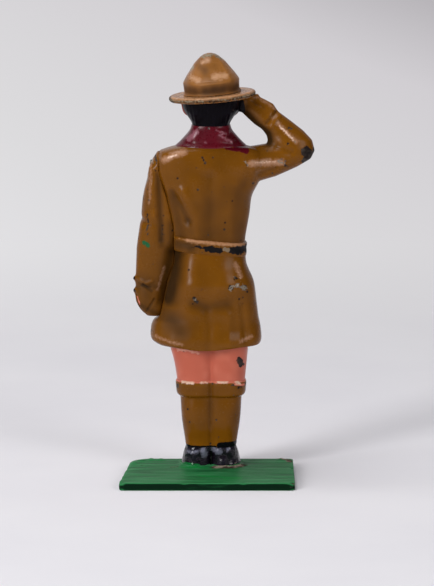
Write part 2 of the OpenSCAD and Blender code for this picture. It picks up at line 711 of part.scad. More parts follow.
// The hand's sections from its fingertips up: shares of its length, of its width for the step out from the
// cuff's inner side and for the section's width, and of the arm's half depth
hand_shares = [
    [1, 0.55, 0.32, 0.3],
    [0.87, 0.41, 0.58, 0.56],
    [0.65, 0.28, 0.83, 0.72],
    [0.4, 0.2, 0.97, 0.78],
    [0.16, 0.13, 1.01, 0.78],
    [0, 0.06, 1.01, 0.78]];
cuff_row = sleeve_row(sleeve_shares[len(sleeve_shares) - 1]);
function hand_row(s) =
    let (inner = s[1] * arm_hand_w - cuff_row[2], half_d = s[3] * arm_d / 2)
    [cuff_row[0] - s[0] * arm_hand_l, inner + s[2] * arm_hand_w, -inner, half_d, half_d];

// Seat of the stud's head in the arm and the head's height, as shares of the arm's thickness at the shoulder
head_seat_share = 0.5;
head_height_share = 0.34;
stud_seat_x = arm_inner_x + head_seat_share * arm_shoulder_t;
module along_stud(x) { translate([x, 0, z_stud]) rotate([0, 90, 0]) children(); }

module left_arm() {
    color(khaki) at_figure() difference() {
        loft([for (i = [len(sleeve_shares) - 1 : -1 : 0]) limb_ring(sleeve_row(sleeve_shares[i]))]);
        along_stud(arm_inner_x - overrun) cylinder(r = stud_r + stud_clearance, h = overrun + arm_reach);
        along_stud(stud_seat_x) cylinder(r = stud_head_r + stud_clearance, h = arm_reach);
    }
}

module left_hand() {
    color(khaki) at_figure() loft([for (s = hand_shares) limb_ring(hand_row(s))]);
}

module shoulder_stud() {
    cap_h = head_height_share * arm_shoulder_t;
    dome_r = 2 * stud_head_r;
    color(bare_metal) at_figure() {
        along_stud(left_shoulder_x - stud_root)
            cylinder(r = stud_r, h = stud_root + stud_seat_x - left_shoulder_x + cap_h / 2);
        along_stud(stud_seat_x + stud_clearance) rotate_extrude() intersection() {
            square([stud_head_r, cap_h]);
            translate([0, cap_h - dome_r]) circle(r = dome_r);
        }
    }
}

base_plate();
left_shoe();
right_shoe();
left_stocking();
right_stocking();
left_stocking_cuff();
right_stocking_cuff();
left_knee();
right_knee();
tunic_skirt();
belt();
belt_buckle();
tunic_body();
neckerchief();
neckerchief_knot();
head();
hair();
hat_brim();
hat_crown();
right_upper_arm();
right_forearm();
right_hand();
left_arm();
left_hand();
shoulder_stud();
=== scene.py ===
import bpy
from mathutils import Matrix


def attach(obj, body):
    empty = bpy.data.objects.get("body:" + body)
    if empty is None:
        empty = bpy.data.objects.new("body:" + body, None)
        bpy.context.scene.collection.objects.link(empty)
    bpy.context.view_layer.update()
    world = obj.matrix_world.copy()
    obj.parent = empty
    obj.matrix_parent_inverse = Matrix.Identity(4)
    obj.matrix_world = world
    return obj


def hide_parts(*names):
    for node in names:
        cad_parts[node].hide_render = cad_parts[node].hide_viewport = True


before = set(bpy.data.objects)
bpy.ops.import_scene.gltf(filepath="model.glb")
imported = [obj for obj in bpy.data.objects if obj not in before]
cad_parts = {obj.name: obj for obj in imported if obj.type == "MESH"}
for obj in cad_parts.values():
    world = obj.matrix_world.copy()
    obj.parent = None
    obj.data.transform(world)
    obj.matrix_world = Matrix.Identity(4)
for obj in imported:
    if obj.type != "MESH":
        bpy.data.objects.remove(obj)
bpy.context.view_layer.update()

import math

import bmesh
import bpy
import numpy as np


# Base plate
# A thin metal plate that the figure stands on near the front edge, soldered at the soles.
# It is brushed with green enamel in long strokes, and its front left corner is worn round.
MM = 0.001
# Where the figure's own axis stands in the frame.
AXIS = np.array((-0.75, -5.6, 0.0))
# Each corner's middle, across and back, and how round it is.
plate_corners = ((-14.85, -5.0, 0.8), (-14.85, 16.2, 0.8), (16.35, 16.2, 0.8), (11.45, -1.8, 4.0))
plate_thick = 1.45


def linear(code):
    """An sRGB hex colour as linear RGBA."""
    parts = [int(code[k:k + 2], 16) / 255 for k in (1, 3, 5)]
    return [p / 12.92 if p <= 0.04045 else ((p + 0.055) / 1.055) ** 2.4 for p in parts] + [1.0]


def add(tree, kind, inputs=None, out=0, stops=(), **options):
    """One shader node. Its inputs are values or other nodes' outputs, and one output comes back."""
    node = tree.nodes.new("ShaderNode" + kind)
    for key, value in options.items():
        setattr(node, key, value)
    for key, value in (inputs or {}).items():
        if isinstance(value, bpy.types.NodeSocket):
            tree.links.new(value, node.inputs[key])
        else:
            node.inputs[key].default_value = value
    for k, (place, colour) in enumerate(stops):
        stop = node.color_ramp.elements[k] if k < 2 else node.color_ramp.elements.new(place)
        stop.position, stop.color = place, colour
    return node.outputs[out]


def put(name, data):
    """An object in the scene that holds a mesh, a lamp or a camera."""
    thing = bpy.data.objects.new(name, data)
    bpy.context.scene.collection.objects.link(thing)
    return thing


def worked(mesh, **modifiers):
    """A new mesh, as modifiers make it from another. Each is its kind and its settings."""
    holder = put("holder", mesh)
    for kind, settings in modifiers.items():
        modifier = holder.modifiers.new(kind, kind)
        for key, value in settings.items():
            setattr(modifier, key, value)
    result = bpy.data.meshes.new_from_object(holder.evaluated_get(bpy.context.evaluated_depsgraph_get()))
    bpy.data.objects.remove(holder)
    return result


def melt(shells, grain, soften):
    """Runs closed shells into one skin, as metal does in a mould. Grain is the size of its faces."""
    points, faces = [], []
    for shell_points, shell_faces in shells:
        start = len(points)
        points.extend(map(tuple, shell_points))
        faces.extend([start + k for k in face] for face in shell_faces)
    rough = bpy.data.meshes.new("rough")
    rough.from_pydata(points, [], faces)
    cast = worked(rough, REMESH={"mode": "VOXEL", "voxel_size": grain},
                  SMOOTH={"factor": 0.5, "iterations": soften})
    bpy.data.meshes.remove(rough)
    return cast


def skin_of(cast):
    """The points and normals of a casting as arrays."""
    points, normals = (np.empty(len(cast.vertices) * 3, np.float32) for _ in range(2))
    cast.vertices.foreach_get("co", points)
    cast.vertex_normals.foreach_get("vector", normals)
    return points.reshape(-1, 3).astype(float), normals.reshape(-1, 3).astype(float)


def reach(cast, side, path):
    """How far each point is from a path drawn on one side, and how far it faces that side."""
    across, depth, sign = {"back": (0, 1, 1), "front": (0, 1, -1), "left": (1, 0, 1),
                           "right": (1, 0, -1), "top": (0, 2, 1)}[side]
    up = 1 if side == "top" else 2
    points, normals = skin_of(cast)
    flat = points[:, (across, up)]
    away = np.full(len(flat), 1e9)
    corners = [np.array(p, float) for p in path]
    for a, b in zip(corners, corners[1:] or corners):
        along = b - a
        share = np.clip((flat - a) @ along / max(along @ along, 1e-9), 0, 1)
        away = np.minimum(away, np.linalg.norm(flat - a - share[:, None] * along, axis=1))
    return away, np.clip(normals[:, depth] * sign * 3, 0, 1)


def reshape(cast, points):
    """Moves a casting's points to new places."""
    cast.vertices.foreach_set("co", points.astype(np.float32).ravel())
    cast.update()


def press(cast, side, *grooves):
    """Presses soft grooves into one side of a casting. A groove is the places of its path, its width
    and its depth, which is below 0 for a ridge."""
    for *path, width, depth in grooves:
        points, normals = skin_of(cast)
        away, facing = reach(cast, side, path)
        reshape(cast, points - normals * (depth * np.exp(-(away / width) ** 2) * facing)[:, None])


def note(cast, name, values):
    """Keeps one number for each point of a casting, for its paint to read."""
    layer = cast.attributes.get(name) or cast.attributes.new(name, "FLOAT", "POINT")
    layer.data.foreach_set("value", np.asarray(values, np.float32))


def outside(cast, sides):
    """How far each point lies outside the nearest mark. A mark is its path, then its half width."""
    nowhere = 9.0
    nearest = np.full(len(cast.vertices), nowhere)
    for side, marks in sides.items():
        for *path, half in marks:
            away, facing = reach(cast, side, path)
            nearest = np.minimum(nearest, np.where(facing > 0, away - half, nowhere))
    return nearest


def wear(cast, **sides):
    """Notes where the paint is chipped off a casting."""
    note(cast, "chip", outside(cast, sides))


def brush(cast, attribute, **sides):
    """Notes where another paint, or a painted highlight, lies on a casting: 1 inside the marks, 0 from 1
    mm outside them.
    """
    note(cast, attribute, 1 - np.clip(outside(cast, sides).astype(np.float32), 0, 1))


def carve(cast, node, finish, cuts=(), body="figure", name=None):
    """Cuts one named piece out of a casting and keeps the casting's shading up to the cuts. The piece
    takes its paint and rides on the named body, and the part of model.glb that it stands for is hidden."""
    points, normals = skin_of(cast)
    evened = worked(cast, SMOOTH={"factor": 0.5, "iterations": 60})
    # Relief is how far the skin stands off its own evened-out form, in millimetres.
    note(cast, "relief", np.einsum("ij,ij->i", points - skin_of(evened)[0], normals))
    bpy.data.meshes.remove(evened)
    layer = cast.attributes.get("skin") or cast.attributes.new("skin", "FLOAT_VECTOR", "POINT")
    layer.data.foreach_set("vector", normals.astype(np.float32).ravel())
    shape = bmesh.new()
    shape.from_mesh(cast)
    for place, side in cuts:
        bmesh.ops.bisect_plane(shape, geom=shape.verts[:] + shape.edges[:] + shape.faces[:],
                               plane_co=place, plane_no=side, clear_inner=True)
        bmesh.ops.holes_fill(shape, edges=[e for e in shape.edges if e.is_boundary], sides=0)
    for point in shape.verts:
        point.co = [(point.co[k] + AXIS[k]) * MM for k in range(3)]
    for face in shape.faces:
        face.smooth = True
    name = name or "cast_" + node
    mesh = bpy.data.meshes.new(name)
    shape.to_mesh(mesh)
    shape.free()
    kept = np.empty(len(mesh.vertices) * 3, np.float32)
    mesh.attributes["skin"].data.foreach_get("vector", kept)
    mesh.normals_split_custom_set_from_vertices(kept.reshape(-1, 3).tolist())
    mesh.attributes.remove(mesh.attributes["skin"])
    mesh.materials.append(finish)
    piece = put(name, mesh)
    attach(piece, body)
    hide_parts(node)


def shaded(name):
    """A new material, its nodes and its shader."""
    material = bpy.data.materials.new(name)
    material.use_nodes = True
    return material, material.node_tree, material.node_tree.nodes["Principled BSDF"]


def enamel(name, coat, deep, bright, bare, metal, roughness, sheen=0.3, lump=4.0, detail=1.0,
           stroke=(1, 1, 1), swirl=0.2, speck=0.66):
    """Enamel brushed on cast metal, with painted shade in its hollows and painted light on its ridges; it
    chips to the metal.
    Lump is the size of its unevenness in millimetres, swirl how far that shows in the tone, and speck
    the share of small places that keep their paint. Bare and metal are the stained and the clean
    metal under a chip. Sheen is the specular level, which old paint has lost some of."""
    material, tree, shader = shaded(name)
    shader.inputs["Specular IOR Level"].default_value = sheen
    place = add(tree, "TexCoord", out="Object")
    drawn = add(tree, "VectorMath", {0: place, 1: stroke}, operation="MULTIPLY")
    lumps = add(tree, "TexNoise", {"Vector": drawn, "Scale": 1 / (lump * MM), "Detail": detail})
    # The paint's skin has a grain of about 0.5 mm.
    fine = add(tree, "TexNoise", {"Vector": place, "Scale": 1 / (0.5 * MM), "Detail": 3.0})
    relief, chip, painted_shade = (add(tree, "Attribute", attribute_name=noted, out="Fac")
                           for noted in ("relief", "chip", "painted_shade"))

    # Paint tone: painted shade in the hollows and painted light on the ridges, with the brush's own
    # unevenness, less the painted shade noted on the casting.
    # Painted shade and light: relief darkens the hollows and lightens the ridges.
    thick = add(tree, "Math", {0: relief, 1: 0.9, 2: 0.5 - 2 * swirl}, operation="MULTIPLY_ADD")
    uneven = add(tree, "Math", {0: lumps, 1: 4 * swirl, 2: thick}, operation="MULTIPLY_ADD")
    tone = add(tree, "Math", {0: uneven, 1: painted_shade}, operation="SUBTRACT")
    tones = (0.1, linear(deep)), (0.5, linear(coat)), (0.95, linear(bright))
    paint = add(tree, "ValToRGB", {0: tone}, stops=tones)

    # Chips: the noted places with a ragged edge, and loose specks about 0.3 mm across.
    ragged = add(tree, "Math", {0: fine, 1: 1.1, 2: chip}, operation="MULTIPLY_ADD")
    flaked = add(tree, "MapRange", {0: ragged, 1: 0.6, 2: 0.5, 3: 0.0, 4: 1.0})
    dots = add(tree, "TexVoronoi", {"Vector": place, "Scale": 1 / (2.2 * MM)}).node.outputs
    chosen = add(tree, "Math", {0: dots["Color"], 1: speck}, operation="GREATER_THAN")
    near = add(tree, "MapRange", {0: dots["Distance"], 1: 0.12, 2: 0.07, 3: 0.0, 4: 1.0})
    specks = add(tree, "Math", {0: chosen, 1: near}, operation="MULTIPLY")
    lost = add(tree, "Math", {0: flaked, 1: specks}, operation="MAXIMUM")
    # Under the paint, stains about 1.3 mm across lie on the metal.
    patch = add(tree, "TexNoise", {"Vector": place, "Scale": 1 / (1.3 * MM), "Detail": 2.0})
    stains = (0.45, linear(bare)), (0.65, linear(metal))
    under = add(tree, "ValToRGB", {0: patch}, stops=stains)
    colour = add(tree, "Mix", {0: lost, 6: paint, 7: under}, data_type="RGBA", out=2)
    tree.links.new(colour, shader.inputs["Base Color"])

    # The gloss varies a little with the paint's skin. It is duller where shade is painted, and where the
    # paint is lost.
    shine = add(tree, "Math", {0: fine, 1: 0.1, 2: roughness - 0.05}, operation="MULTIPLY_ADD")
    dulled = add(tree, "Math", {0: painted_shade, 1: 1.2, 2: shine}, operation="MULTIPLY_ADD")
    rough = add(tree, "Math", {0: lost, 1: 0.3, 2: dulled}, operation="MULTIPLY_ADD")
    tree.links.new(rough, shader.inputs["Roughness"])

    # Height in millimetres: the uneven casting, the paint's skin, and the step down into a chip.
    skin = add(tree, "Math", {0: fine, 1: 0.01, 2: lumps}, operation="MULTIPLY_ADD")
    height = add(tree, "Math", {0: lost, 1: -0.2, 2: skin}, operation="MULTIPLY_ADD")
    bump = add(tree, "Bump", {"Height": height, "Strength": 0.35, "Distance": MM})
    tree.links.new(bump, shader.inputs["Normal"])
    return material


def touch_up(material, attribute, code, grain=0.9, ragged=0.5, soft=0.08, cover=1.0):
    """Another colour over an enamel where the attribute is near 1: paint brushed or rubbed on, or a
    painted highlight. Its edge wanders by ragged in waves of grain millimetres and fades over soft; cover
    is its strength."""
    tree = material.node_tree
    shader = tree.nodes["Principled BSDF"]
    before = shader.inputs["Base Color"].links[0].from_socket
    place = add(tree, "TexCoord", out="Object")
    shaky = add(tree, "TexNoise", {"Vector": place, "Scale": 1 / (grain * MM), "Detail": 2.0})
    amount = add(tree, "Attribute", attribute_name=attribute, out="Fac")
    wavy = add(tree, "Math", {0: shaky, 1: ragged, 2: amount}, operation="MULTIPLY_ADD")
    full = 0.95 + ragged / 2
    inside = add(tree, "MapRange", {0: wavy, 1: full - soft, 2: full, 3: 0.0, 4: cover})
    after = add(tree, "Mix", {0: inside, 6: before, 7: linear(code)}, data_type="RGBA", out=2)
    tree.links.new(after, shader.inputs["Base Color"])


def once_round(steps):
    """The angles of a circle's points."""
    return np.linspace(0, 2 * math.pi, steps, endpoint=False)


plate_rim = [(x + r * math.cos(a), y + r * math.sin(a), z)
             for x, y, r in plate_corners for a in once_round(48) for z in (0.0, plate_thick)]
hull = bmesh.new()
for point in plate_rim:
    hull.verts.new(point)
bmesh.ops.convex_hull(hull, input=hull.verts[:])
bmesh.ops.delete(hull, geom=[v for v in hull.verts if not v.link_faces], context="VERTS")
hull.verts.index_update()
plate_shell = ([tuple(v.co) for v in hull.verts], [[v.index for v in f.verts] for f in hull.faces])
hull.free()
plate = melt([plate_shell], grain=0.2, soften=5)
# Nicks along the rim, the uneven bead of solder round the soles, and lumps by the worn corner.
press(plate, "top", ((17.0, 9.0), 0.5, 0.25), ((17.0, 12.5), 0.8, 0.2), ((16.0, 4.0), 0.7, 0.25),
      ((-15.6, 3.0), 0.5, 0.3), ((-15.5, 16.6), 0.7, 0.35), ((16.8, 16.7), 0.6, 0.3),
      ((-6.0, 17.0), 0.5, 0.12), ((5.0, 17.0), 0.6, 0.1))
for sign in (-1, 1):
    bead = [(sign * x, y) for x, y in ((5.4, -3), (5.3, 1.5), (2.8, 2.6), (0.6, 1.8))]
    press(plate, "top", (*bead, 0.7, -0.45))
for place in ((13.2, -3.6), (11.4, -4.6), (9.6, -4.4), (14.6, -1.0), (-13.4, -4.6)):
    press(plate, "top", (place, 0.7, -0.3))
wear(plate,
     top=[((-6.4, 0.6), (-5.5, 2.2), (-3.4, 3.3), (-0.4, 2.9), 0.5), ((7.4, 2.4), (6.4, 2.2), 0.25),
          ((-13.0, -5.0), (-14.7, -4.4), (-15.0, -2.6), 0.5), ((-15.3, 4.0), 0.15), ((-15.2, 16.4), 0.3)],
     back=[((-15.0, 0.7), 0.1)])
# Green enamel: brush strokes about 1 mm wide and eight times as long, soft in gloss.
plate_green = enamel("green_enamel", "#246c3c", "#0a2415", "#458f5e", "#3c3028", "#8f8172",
                     roughness=0.45, sheen=0.055, lump=1.0, detail=3.0, stroke=(0.12, 1, 1),
                     swirl=0.24, speck=0.8)
touch_up(plate_green, "fresh", "#147534")
brush(plate, "fresh",
      top=[((2.0, 10.4), (-1.5, 11.4), (-5.6, 12.2), 0.4), ((-2.6, 13.4), (-5.4, 13.2), 0.3),
           ((5.5, 2.9), (1.0, 3.4), 0.3)])
# Painted shade: the sides of the plate are made darker than its top.
note(plate, "painted_shade", 0.55 * np.clip(1 - 2 * np.abs(skin_of(plate)[1][:, 2]), 0, 1))
carve(plate, "base_plate", plate_green, name="green_base_plate")


# Shoes
# Two low shoes cast with the legs, heel to heel, soldered down to the plate.
# They are black enamel, the glossiest paint on the figure, with a sole edge below.
shoe_rows = ((1.4, 5.6, 0.5, 5.45, 2.5), (1.95, 5.65, 0.5, 5.65, 2.7), (2.15, 5.55, 0.5, 5.5, 2.6),
             (3.32, 5.3, 0.5, 5.1, 2.5), (4.26, 5.1, 0.6, 3.53, 2.4), (5.0, 4.85, 0.8, 2.6, 2.4),
             (5.6, 4.7, 0.9, 2.4, 2.3))
ankle = 5.35


def rings(rows, round_share, sides=72, steps=6):
    """Rings through rows of (height, left, right, front, back), on a curve through the rows."""
    rows = np.array(rows, float)
    ends = np.vstack([rows[:1], rows, rows[-1:]])
    eased = []
    for a, b, c, d in zip(ends, ends[1:], ends[2:], ends[3:]):
        for t in np.linspace(0, 1, steps, endpoint=False):
            bend = 2 * a - 5 * b + 4 * c - d + t * (3 * b - a - 3 * c + d)
            eased.append(b + 0.5 * t * (c - a + t * bend))
    eased.append(rows[-1])
    turn = once_round(sides)
    x, y = (np.sign(f) * np.abs(f) ** round_share for f in (np.cos(turn), np.sin(turn)))
    return [np.stack([(left - right) / 2 + x * (left + right) / 2,
                      (back - front) / 2 + y * (front + back) / 2, np.full(sides, z)], 1)
            for z, left, right, front, back in eased]


def shell(loops):
    """A closed skin through loops of points, with flat ends."""
    n = len(loops[0])
    faces = [[k * n + i, k * n + (i + 1) % n, (k + 1) * n + (i + 1) % n, (k + 1) * n + i]
             for k in range(len(loops) - 1) for i in range(n)]
    foot, top = list(range(n))[::-1], list(range((len(loops) - 1) * n, len(loops) * n))
    return np.concatenate(loops), [foot] + faces + [top]


def form(rows, round_share):
    """The closed skin through rows."""
    return shell(rings(rows, round_share))


def mirrored(rows):
    """The same rows for the figure's other side."""
    return [(z, right, left, front, back) for z, left, right, front, back in rows]


def above(z):
    """A level cut that keeps what lies above it."""
    return (0, 0, z), (0, 0, 1)


def below(z):
    """A level cut that keeps what lies below it."""
    return (0, 0, z), (0, 0, -1)


def pair(cast, kind, finish, slot, *cuts):
    """Cuts the left and the right piece of one kind out of the casting that holds both."""
    for sign, name in ((1, "left_" + kind), (-1, "right_" + kind)):
        carve(cast, name, finish, [*cuts, ((0, 0, 0), (sign, 0, 0))])


shoes = melt([form(shoe_rows, 0.85), form(mirrored(shoe_rows), 0.85)], grain=0.14, soften=6)
# The gap between the shoes, their tongues and laces, and lumps of paint on the heels.
press(shoes, "front", ((0, 1.4), (0, 3.6), 0.4, 0.6))
for sign in (-1, 1):
    press(shoes, "front", ((sign * 2.6, 4.9), (sign * 2.7, 3.4), 0.45, 0.12))
    for z in (3.5, 4.0, 4.5):
        press(shoes, "front", ((sign * 2.0, z), (sign * 3.3, z), 0.16, -0.12))
press(shoes, "back", ((1.5, 4.5), 0.7, -0.35), ((-1.3, 4.6), 0.6, -0.35), ((3.4, 4.2), 0.8, -0.25),
      ((-3.4, 4.4), 0.9, -0.3), ((-2.2, 2.6), 0.7, -0.2))
press(shoes, "back", ((0, 1.4), (0, 5.3), 0.3, 0.25))
brush(shoes, "green", back=[((5.6, 1.6), (4.6, 1.9), (2.2, 1.7), 0.3)])
# Blue-grey patches on the heels: painted highlights and scuffs.
brush(shoes, "scuff_and_highlight",
      back=[((1.5, 4.9), (1.2, 3.9), 0.25), ((-0.4, 4.9), (-1.5, 4.4), 0.25),
            ((4.2, 4.3), (2.7, 4.5), -0.05), ((-3.2, 4.9), 0.0)])
wear(shoes,
     back=[((-3.4, 1.6), (-0.8, 1.7), 0.0), ((-4.6, 2.1), 0.15), ((3.2, 2.2), 0.05)],
     left=[((-3.0, 2.0), 0.2)],
     front=[((2.9, 2.4), 0.2)],
     right=[((-2.0, 1.9), 0.15)])
# Black enamel: near-mirror gloss, with blue-grey patches on the heels that are painted highlights and
# scuffs.
shoe_black = enamel("black_shoe_enamel", "#17111b", "#0a070c", "#272130", "#4a3c34", "#7d7268",
                    roughness=0.2, sheen=0.35, lump=1.6, speck=0.8)
touch_up(shoe_black, "scuff_and_highlight", "#807f92", grain=0.5, ragged=1.0, soft=0.5, cover=0.85)
touch_up(shoe_black, "green", "#0f6a32")
pair(shoes, "shoe", shoe_black, "black_paint", below(ankle), above(plate_thick))


# Stockings
# Two stockinged calves cast side by side as one block, with a shallow groove where they touch.
# They carry the same brown enamel as the tunic, thinly brushed.
stocking_rows = ((5.2, 4.75, 1.2, 2.45, 2.7), (7.8, 5.15, 1.2, 2.65, 3.05), (10.47, 5.52, 1.1, 2.88, 3.4),
                 (13.0, 5.7, 1.2, 3.05, 3.4), (15.4, 5.82, 1.3, 3.16, 3.16))
cuff_foot = 14.65
stockings = melt([form(stocking_rows, 0.9), form(mirrored(stocking_rows), 0.9)], grain=0.17, soften=7)
for side in ("back", "front"):
    press(stockings, side, ((0, 5), (0, 15), 0.6, 0.1), ((-3.2, 12.5), (-3.0, 8.5), 1.2, -0.12),
          ((3.2, 12.5), (3.0, 8.5), 1.2, -0.12))
# Painted light: the stockings are made lighter towards the ankles.
note(stockings, "painted_shade", -0.3 * np.clip((10 - skin_of(stockings)[0][:, 2]) / 4, 0, 1))
brush(stockings, "black",
      back=[((-5.0, 5.8), (-1.7, 5.75), 0.5), ((-4.8, 5.35), (-1.6, 5.35), 0.4),
            ((-0.8, 5.4), (3.6, 5.4), 0.15)],
      front=[((-4.5, 5.4), (4.5, 5.4), 0.2)],
      left=[((-2, 5.4), (2, 5.4), 0.2)],
      right=[((-2, 5.7), (2, 5.9), 0.2)])
wear(stockings,
     back=[((-1.4, 8.6), 0.1), ((-4.6, 11.6), 0.0), ((4.9, 13.2), 0.0), ((4.0, 10.3), 0.05),
           ((-1.5, 7.4), 0.05)],
     front=[((-3.4, 11.0), 0.2), ((2.2, 8.4), 0.1)],
     left=[((0.5, 9.0), 0.15)],
     right=[((0.2, 12.2), 0.2)])
# Khaki enamel: warm brown gloss, with painted shade near black in the hollows and painted light in orange
# on the ridges.
khaki = enamel("khaki_enamel", "#6e4208", "#362004", "#8a540c", "#1a100c", "#403730",
               roughness=0.26, sheen=0.14, lump=5.0, swirl=0.08, speck=0.56)
touch_up(khaki, "black", "#0d0a10", grain=0.5, ragged=0.2)
for stray, code in (("green", "#1c5a34"), ("pink", "#d0745c"), ("maroon", "#560a18")):
    touch_up(khaki, stray, code)
# Over the brown: painted highlights in pale pink, partly rubbed paint; grey wear; and small painted
# glints in cream.
touch_up(khaki, "rubbed_and_highlight", "#c09478", grain=0.4, ragged=1.0, soft=0.65, cover=0.6)
touch_up(khaki, "grey", "#83786a", grain=0.3, ragged=1.2)
touch_up(khaki, "painted_glint", "#e6c3ac", grain=0.4, ragged=0.8, soft=0.3)
pair(stockings, "stocking", khaki, "khaki_paint", above(ankle), below(cuff_foot))


# Stocking cuffs
# The turned-over tops of the stockings, standing a little proud of calf and knee as one rolled band.
# Brown enamel, with pink strayed along the upper edge and painted glints on it.
cuff_rows = ((14.5, 5.8, 1.3, 3.2, 3.2), (14.95, 5.85, 1.3, 3.22, 3.22), (15.25, 6.3, 1.3, 3.6, 3.6),
             (15.7, 6.52, 1.3, 3.74, 3.74), (16.4, 6.6, 1.3, 3.8, 3.8), (17.2, 6.68, 1.3, 3.9, 3.95),
             (17.6, 6.7, 1.3, 3.92, 4.0), (17.9, 6.62, 1.3, 3.82, 3.88), (18.15, 6.45, 1.3, 3.65, 3.7),
             (18.3, 6.2, 1.3, 3.4, 3.45))
cuffs = melt([form(cuff_rows, 0.9), form(mirrored(cuff_rows), 0.9)], grain=0.15, soften=4)
for side in ("back", "front"):
    press(cuffs, side, ((0, 14.5), (0, 17.8), 0.5, 0.1))
cuff_edge = ((-6.6, 18.05), (6.6, 18.05), 0.12)
brush(cuffs, "pink", back=[cuff_edge, ((-4.6, 17.6), (-6.2, 17.3), 0.1)], front=[cuff_edge],
      left=[cuff_edge], right=[cuff_edge])
# Painted glints along the top edge of the cuffs.
brush(cuffs, "painted_glint",
      back=[((5.4, 18.0), (3.4, 17.95), 0.02), ((1.9, 18.0), (0.6, 18.0), -0.1),
            ((-1.4, 18.1), (-3.0, 18.1), 0.08), ((-4.8, 17.9), (-5.4, 17.7), 0.05)])
wear(cuffs,
     back=[((-3.9, 17.5), (-4.5, 17.4), 0.15), ((-5.3, 17.0), (-6.4, 17.4), 0.2),
           ((6.3, 17.3), (6.2, 16.8), 0.2), ((1.8, 16.1), 0.05)],
     front=[((3.0, 17.2), 0.25), ((-4.6, 16.0), 0.15)],
     left=[((0.0, 17.1), 0.2)])
pair(cuffs, "stocking_cuff", khaki, "khaki_paint", above(cuff_foot))


# Knees
# The bare knees and lower thighs between stocking and hem, cast as one block with a soft groove.
# A flat coat of salmon flesh enamel, duller than the brown, with a few dark chips.
# Height, reach to the left and to the right, and half depth.
knee_rows = ((17.3, 6.3, 6.3, 3.5), (18.3, 6.45, 6.45, 3.62), (21.27, 6.92, 6.74, 3.92),
             (23.5, 7.5, 6.95, 4.2), (25.4, 8.0, 7.1, 4.5))
past_middle = 1.4
left_knee = [(z, left, past_middle, deep, deep) for z, left, right, deep in knee_rows]
right_knee = [(z, past_middle, right, deep, deep) for z, left, right, deep in knee_rows]
knee_foot, hem = 17.55, 25.0
knees = melt([form(left_knee, 0.9), form(right_knee, 0.9)], grain=0.17, soften=7)
# The groove between the legs, the crease behind each knee, and its kneecap.
for side in ("back", "front"):
    press(knees, side, ((0.1, 17.4), (0.1, 25), 0.8, 0.12))
for sign in (-1, 1):
    press(knees, "back", ((sign * 1.6, 20.6), (sign * 5.0, 20.4), 0.8, 0.06))
    press(knees, "front", ((sign * 3.4, 20.6), 1.5, -0.3))
wear(knees,
     back=[((-5.3, 22.3), (-5.7, 21.3), 0.55), ((5.1, 23.9), 0.1), ((2.3, 23.4), 0.0),
           ((2.4, 18.7), 0.05)],
     front=[((4.1, 19.2), 0.2), ((-2.0, 23.0), 0.1)],
     right=[((-0.6, 20.0), 0.25)])
# Flesh enamel: an even salmon coat with a soft shine, rubbed pale under the hem.
flesh = enamel("flesh_enamel", "#c1614a", "#b2553f", "#e28a70", "#1c1310", "#3d2e28",
               roughness=0.32, sheen=0.25, lump=3.0, swirl=0.08, speck=0.78)
touch_up(flesh, "rubbed_and_highlight", "#e6b5a2", grain=0.4, ragged=0.9, soft=0.5, cover=0.7)
brush(knees, "rubbed_and_highlight", back=[((6.3, 24.2), (4.6, 24.3), (2.5, 23.7), -0.15)])
pair(knees, "knee", flesh, "flesh_paint", above(knee_foot), below(hem))


# Tunic skirt
# The flared skirt of the belted tunic, cast solid over the thighs and longer to the figure's left.
# Brown enamel over soft cast folds, with painted shade in the sunk hollow beside the hanging hand, and
# worn grey over the seat.
skirt_rows = ((25.0, 10.0, 9.2, 6.2, 6.25), (26.02, 11.3, 9.55, 6.45, 6.45),
              (27.98, 11.35, 9.4, 6.37, 6.05), (29.3, 10.95, 9.15, 5.95, 5.88),
              (30.39, 10.1, 8.94, 5.6, 5.8), (33.37, 9.3, 8.57, 5.44, 5.79), (36.9, 8.7, 8.06, 5.5, 5.85),
              (40.25, 7.6, 6.7, 4.88, 5.21), (43.6, 7.2, 6.5, 4.65, 4.65), (44.2, 7.2, 6.4, 4.6, 4.6))
waist = 43.6
# Where the left arm swings past: how far out the body may come, by the distance from its stud.
stud_height = 58.6
swing_line = ((0, 9.72), (2.9, 9.72), (3.7, 9.2), (4.7, 8.75), (6.3, 8.3), (8.8, 7.65), (11.4, 7.05),
              (13.0, 6.97), (15.3, 6.95), (16.3, 6.87), (18.4, 6.95), (20.4, 7.75), (21.7, 8.2),
              (25.2, 8.9), (28.2, 9.6), (28.7, 10.2), (29.4, 12.0), (40.0, 16.0))


def beside_arm(loops, keep):
    """Flattens loops against the face that the left arm turns on: -1 keeps the body, 1 the arm."""
    for loop in loops:
        face = np.interp(np.hypot(loop[:, 1], loop[:, 2] - stud_height), *zip(*swing_line))
        loop[:, 0] = keep * np.maximum(keep * loop[:, 0], keep * face)
    return loops


skirt = melt([shell(beside_arm(rings(skirt_rows, 0.8), -1))], grain=0.2, soften=5)


def sink(cast, path, width, depth):
    """Sinks the back of a casting along a path, its edge beside the arm with it."""
    points = skin_of(cast)[0]
    away = reach(cast, "back", path)[0]
    points[:, 1] -= depth * np.exp(-(away / width) ** 2) * np.clip(points[:, 1] / 1.5, 0, 1)
    reshape(cast, points)


def paint_shade(cast, **sides):
    """Notes painted shade: darker paint laid in hollows and creases, where shade falls. A mark is its
    path, width and amount.
    """
    amounts = np.zeros(len(cast.vertices))
    for side, marks in sides.items():
        for *path, width, amount in marks:
            away, facing = reach(cast, side, path)
            amounts = np.maximum(amounts, amount * np.exp(-(away / width) ** 2) * facing)
    note(cast, "painted_shade", amounts)


sink(skirt, [(6.9, 42.4), (7.7, 38.0), (8.6, 34.2)], width=1.7, depth=1.7)
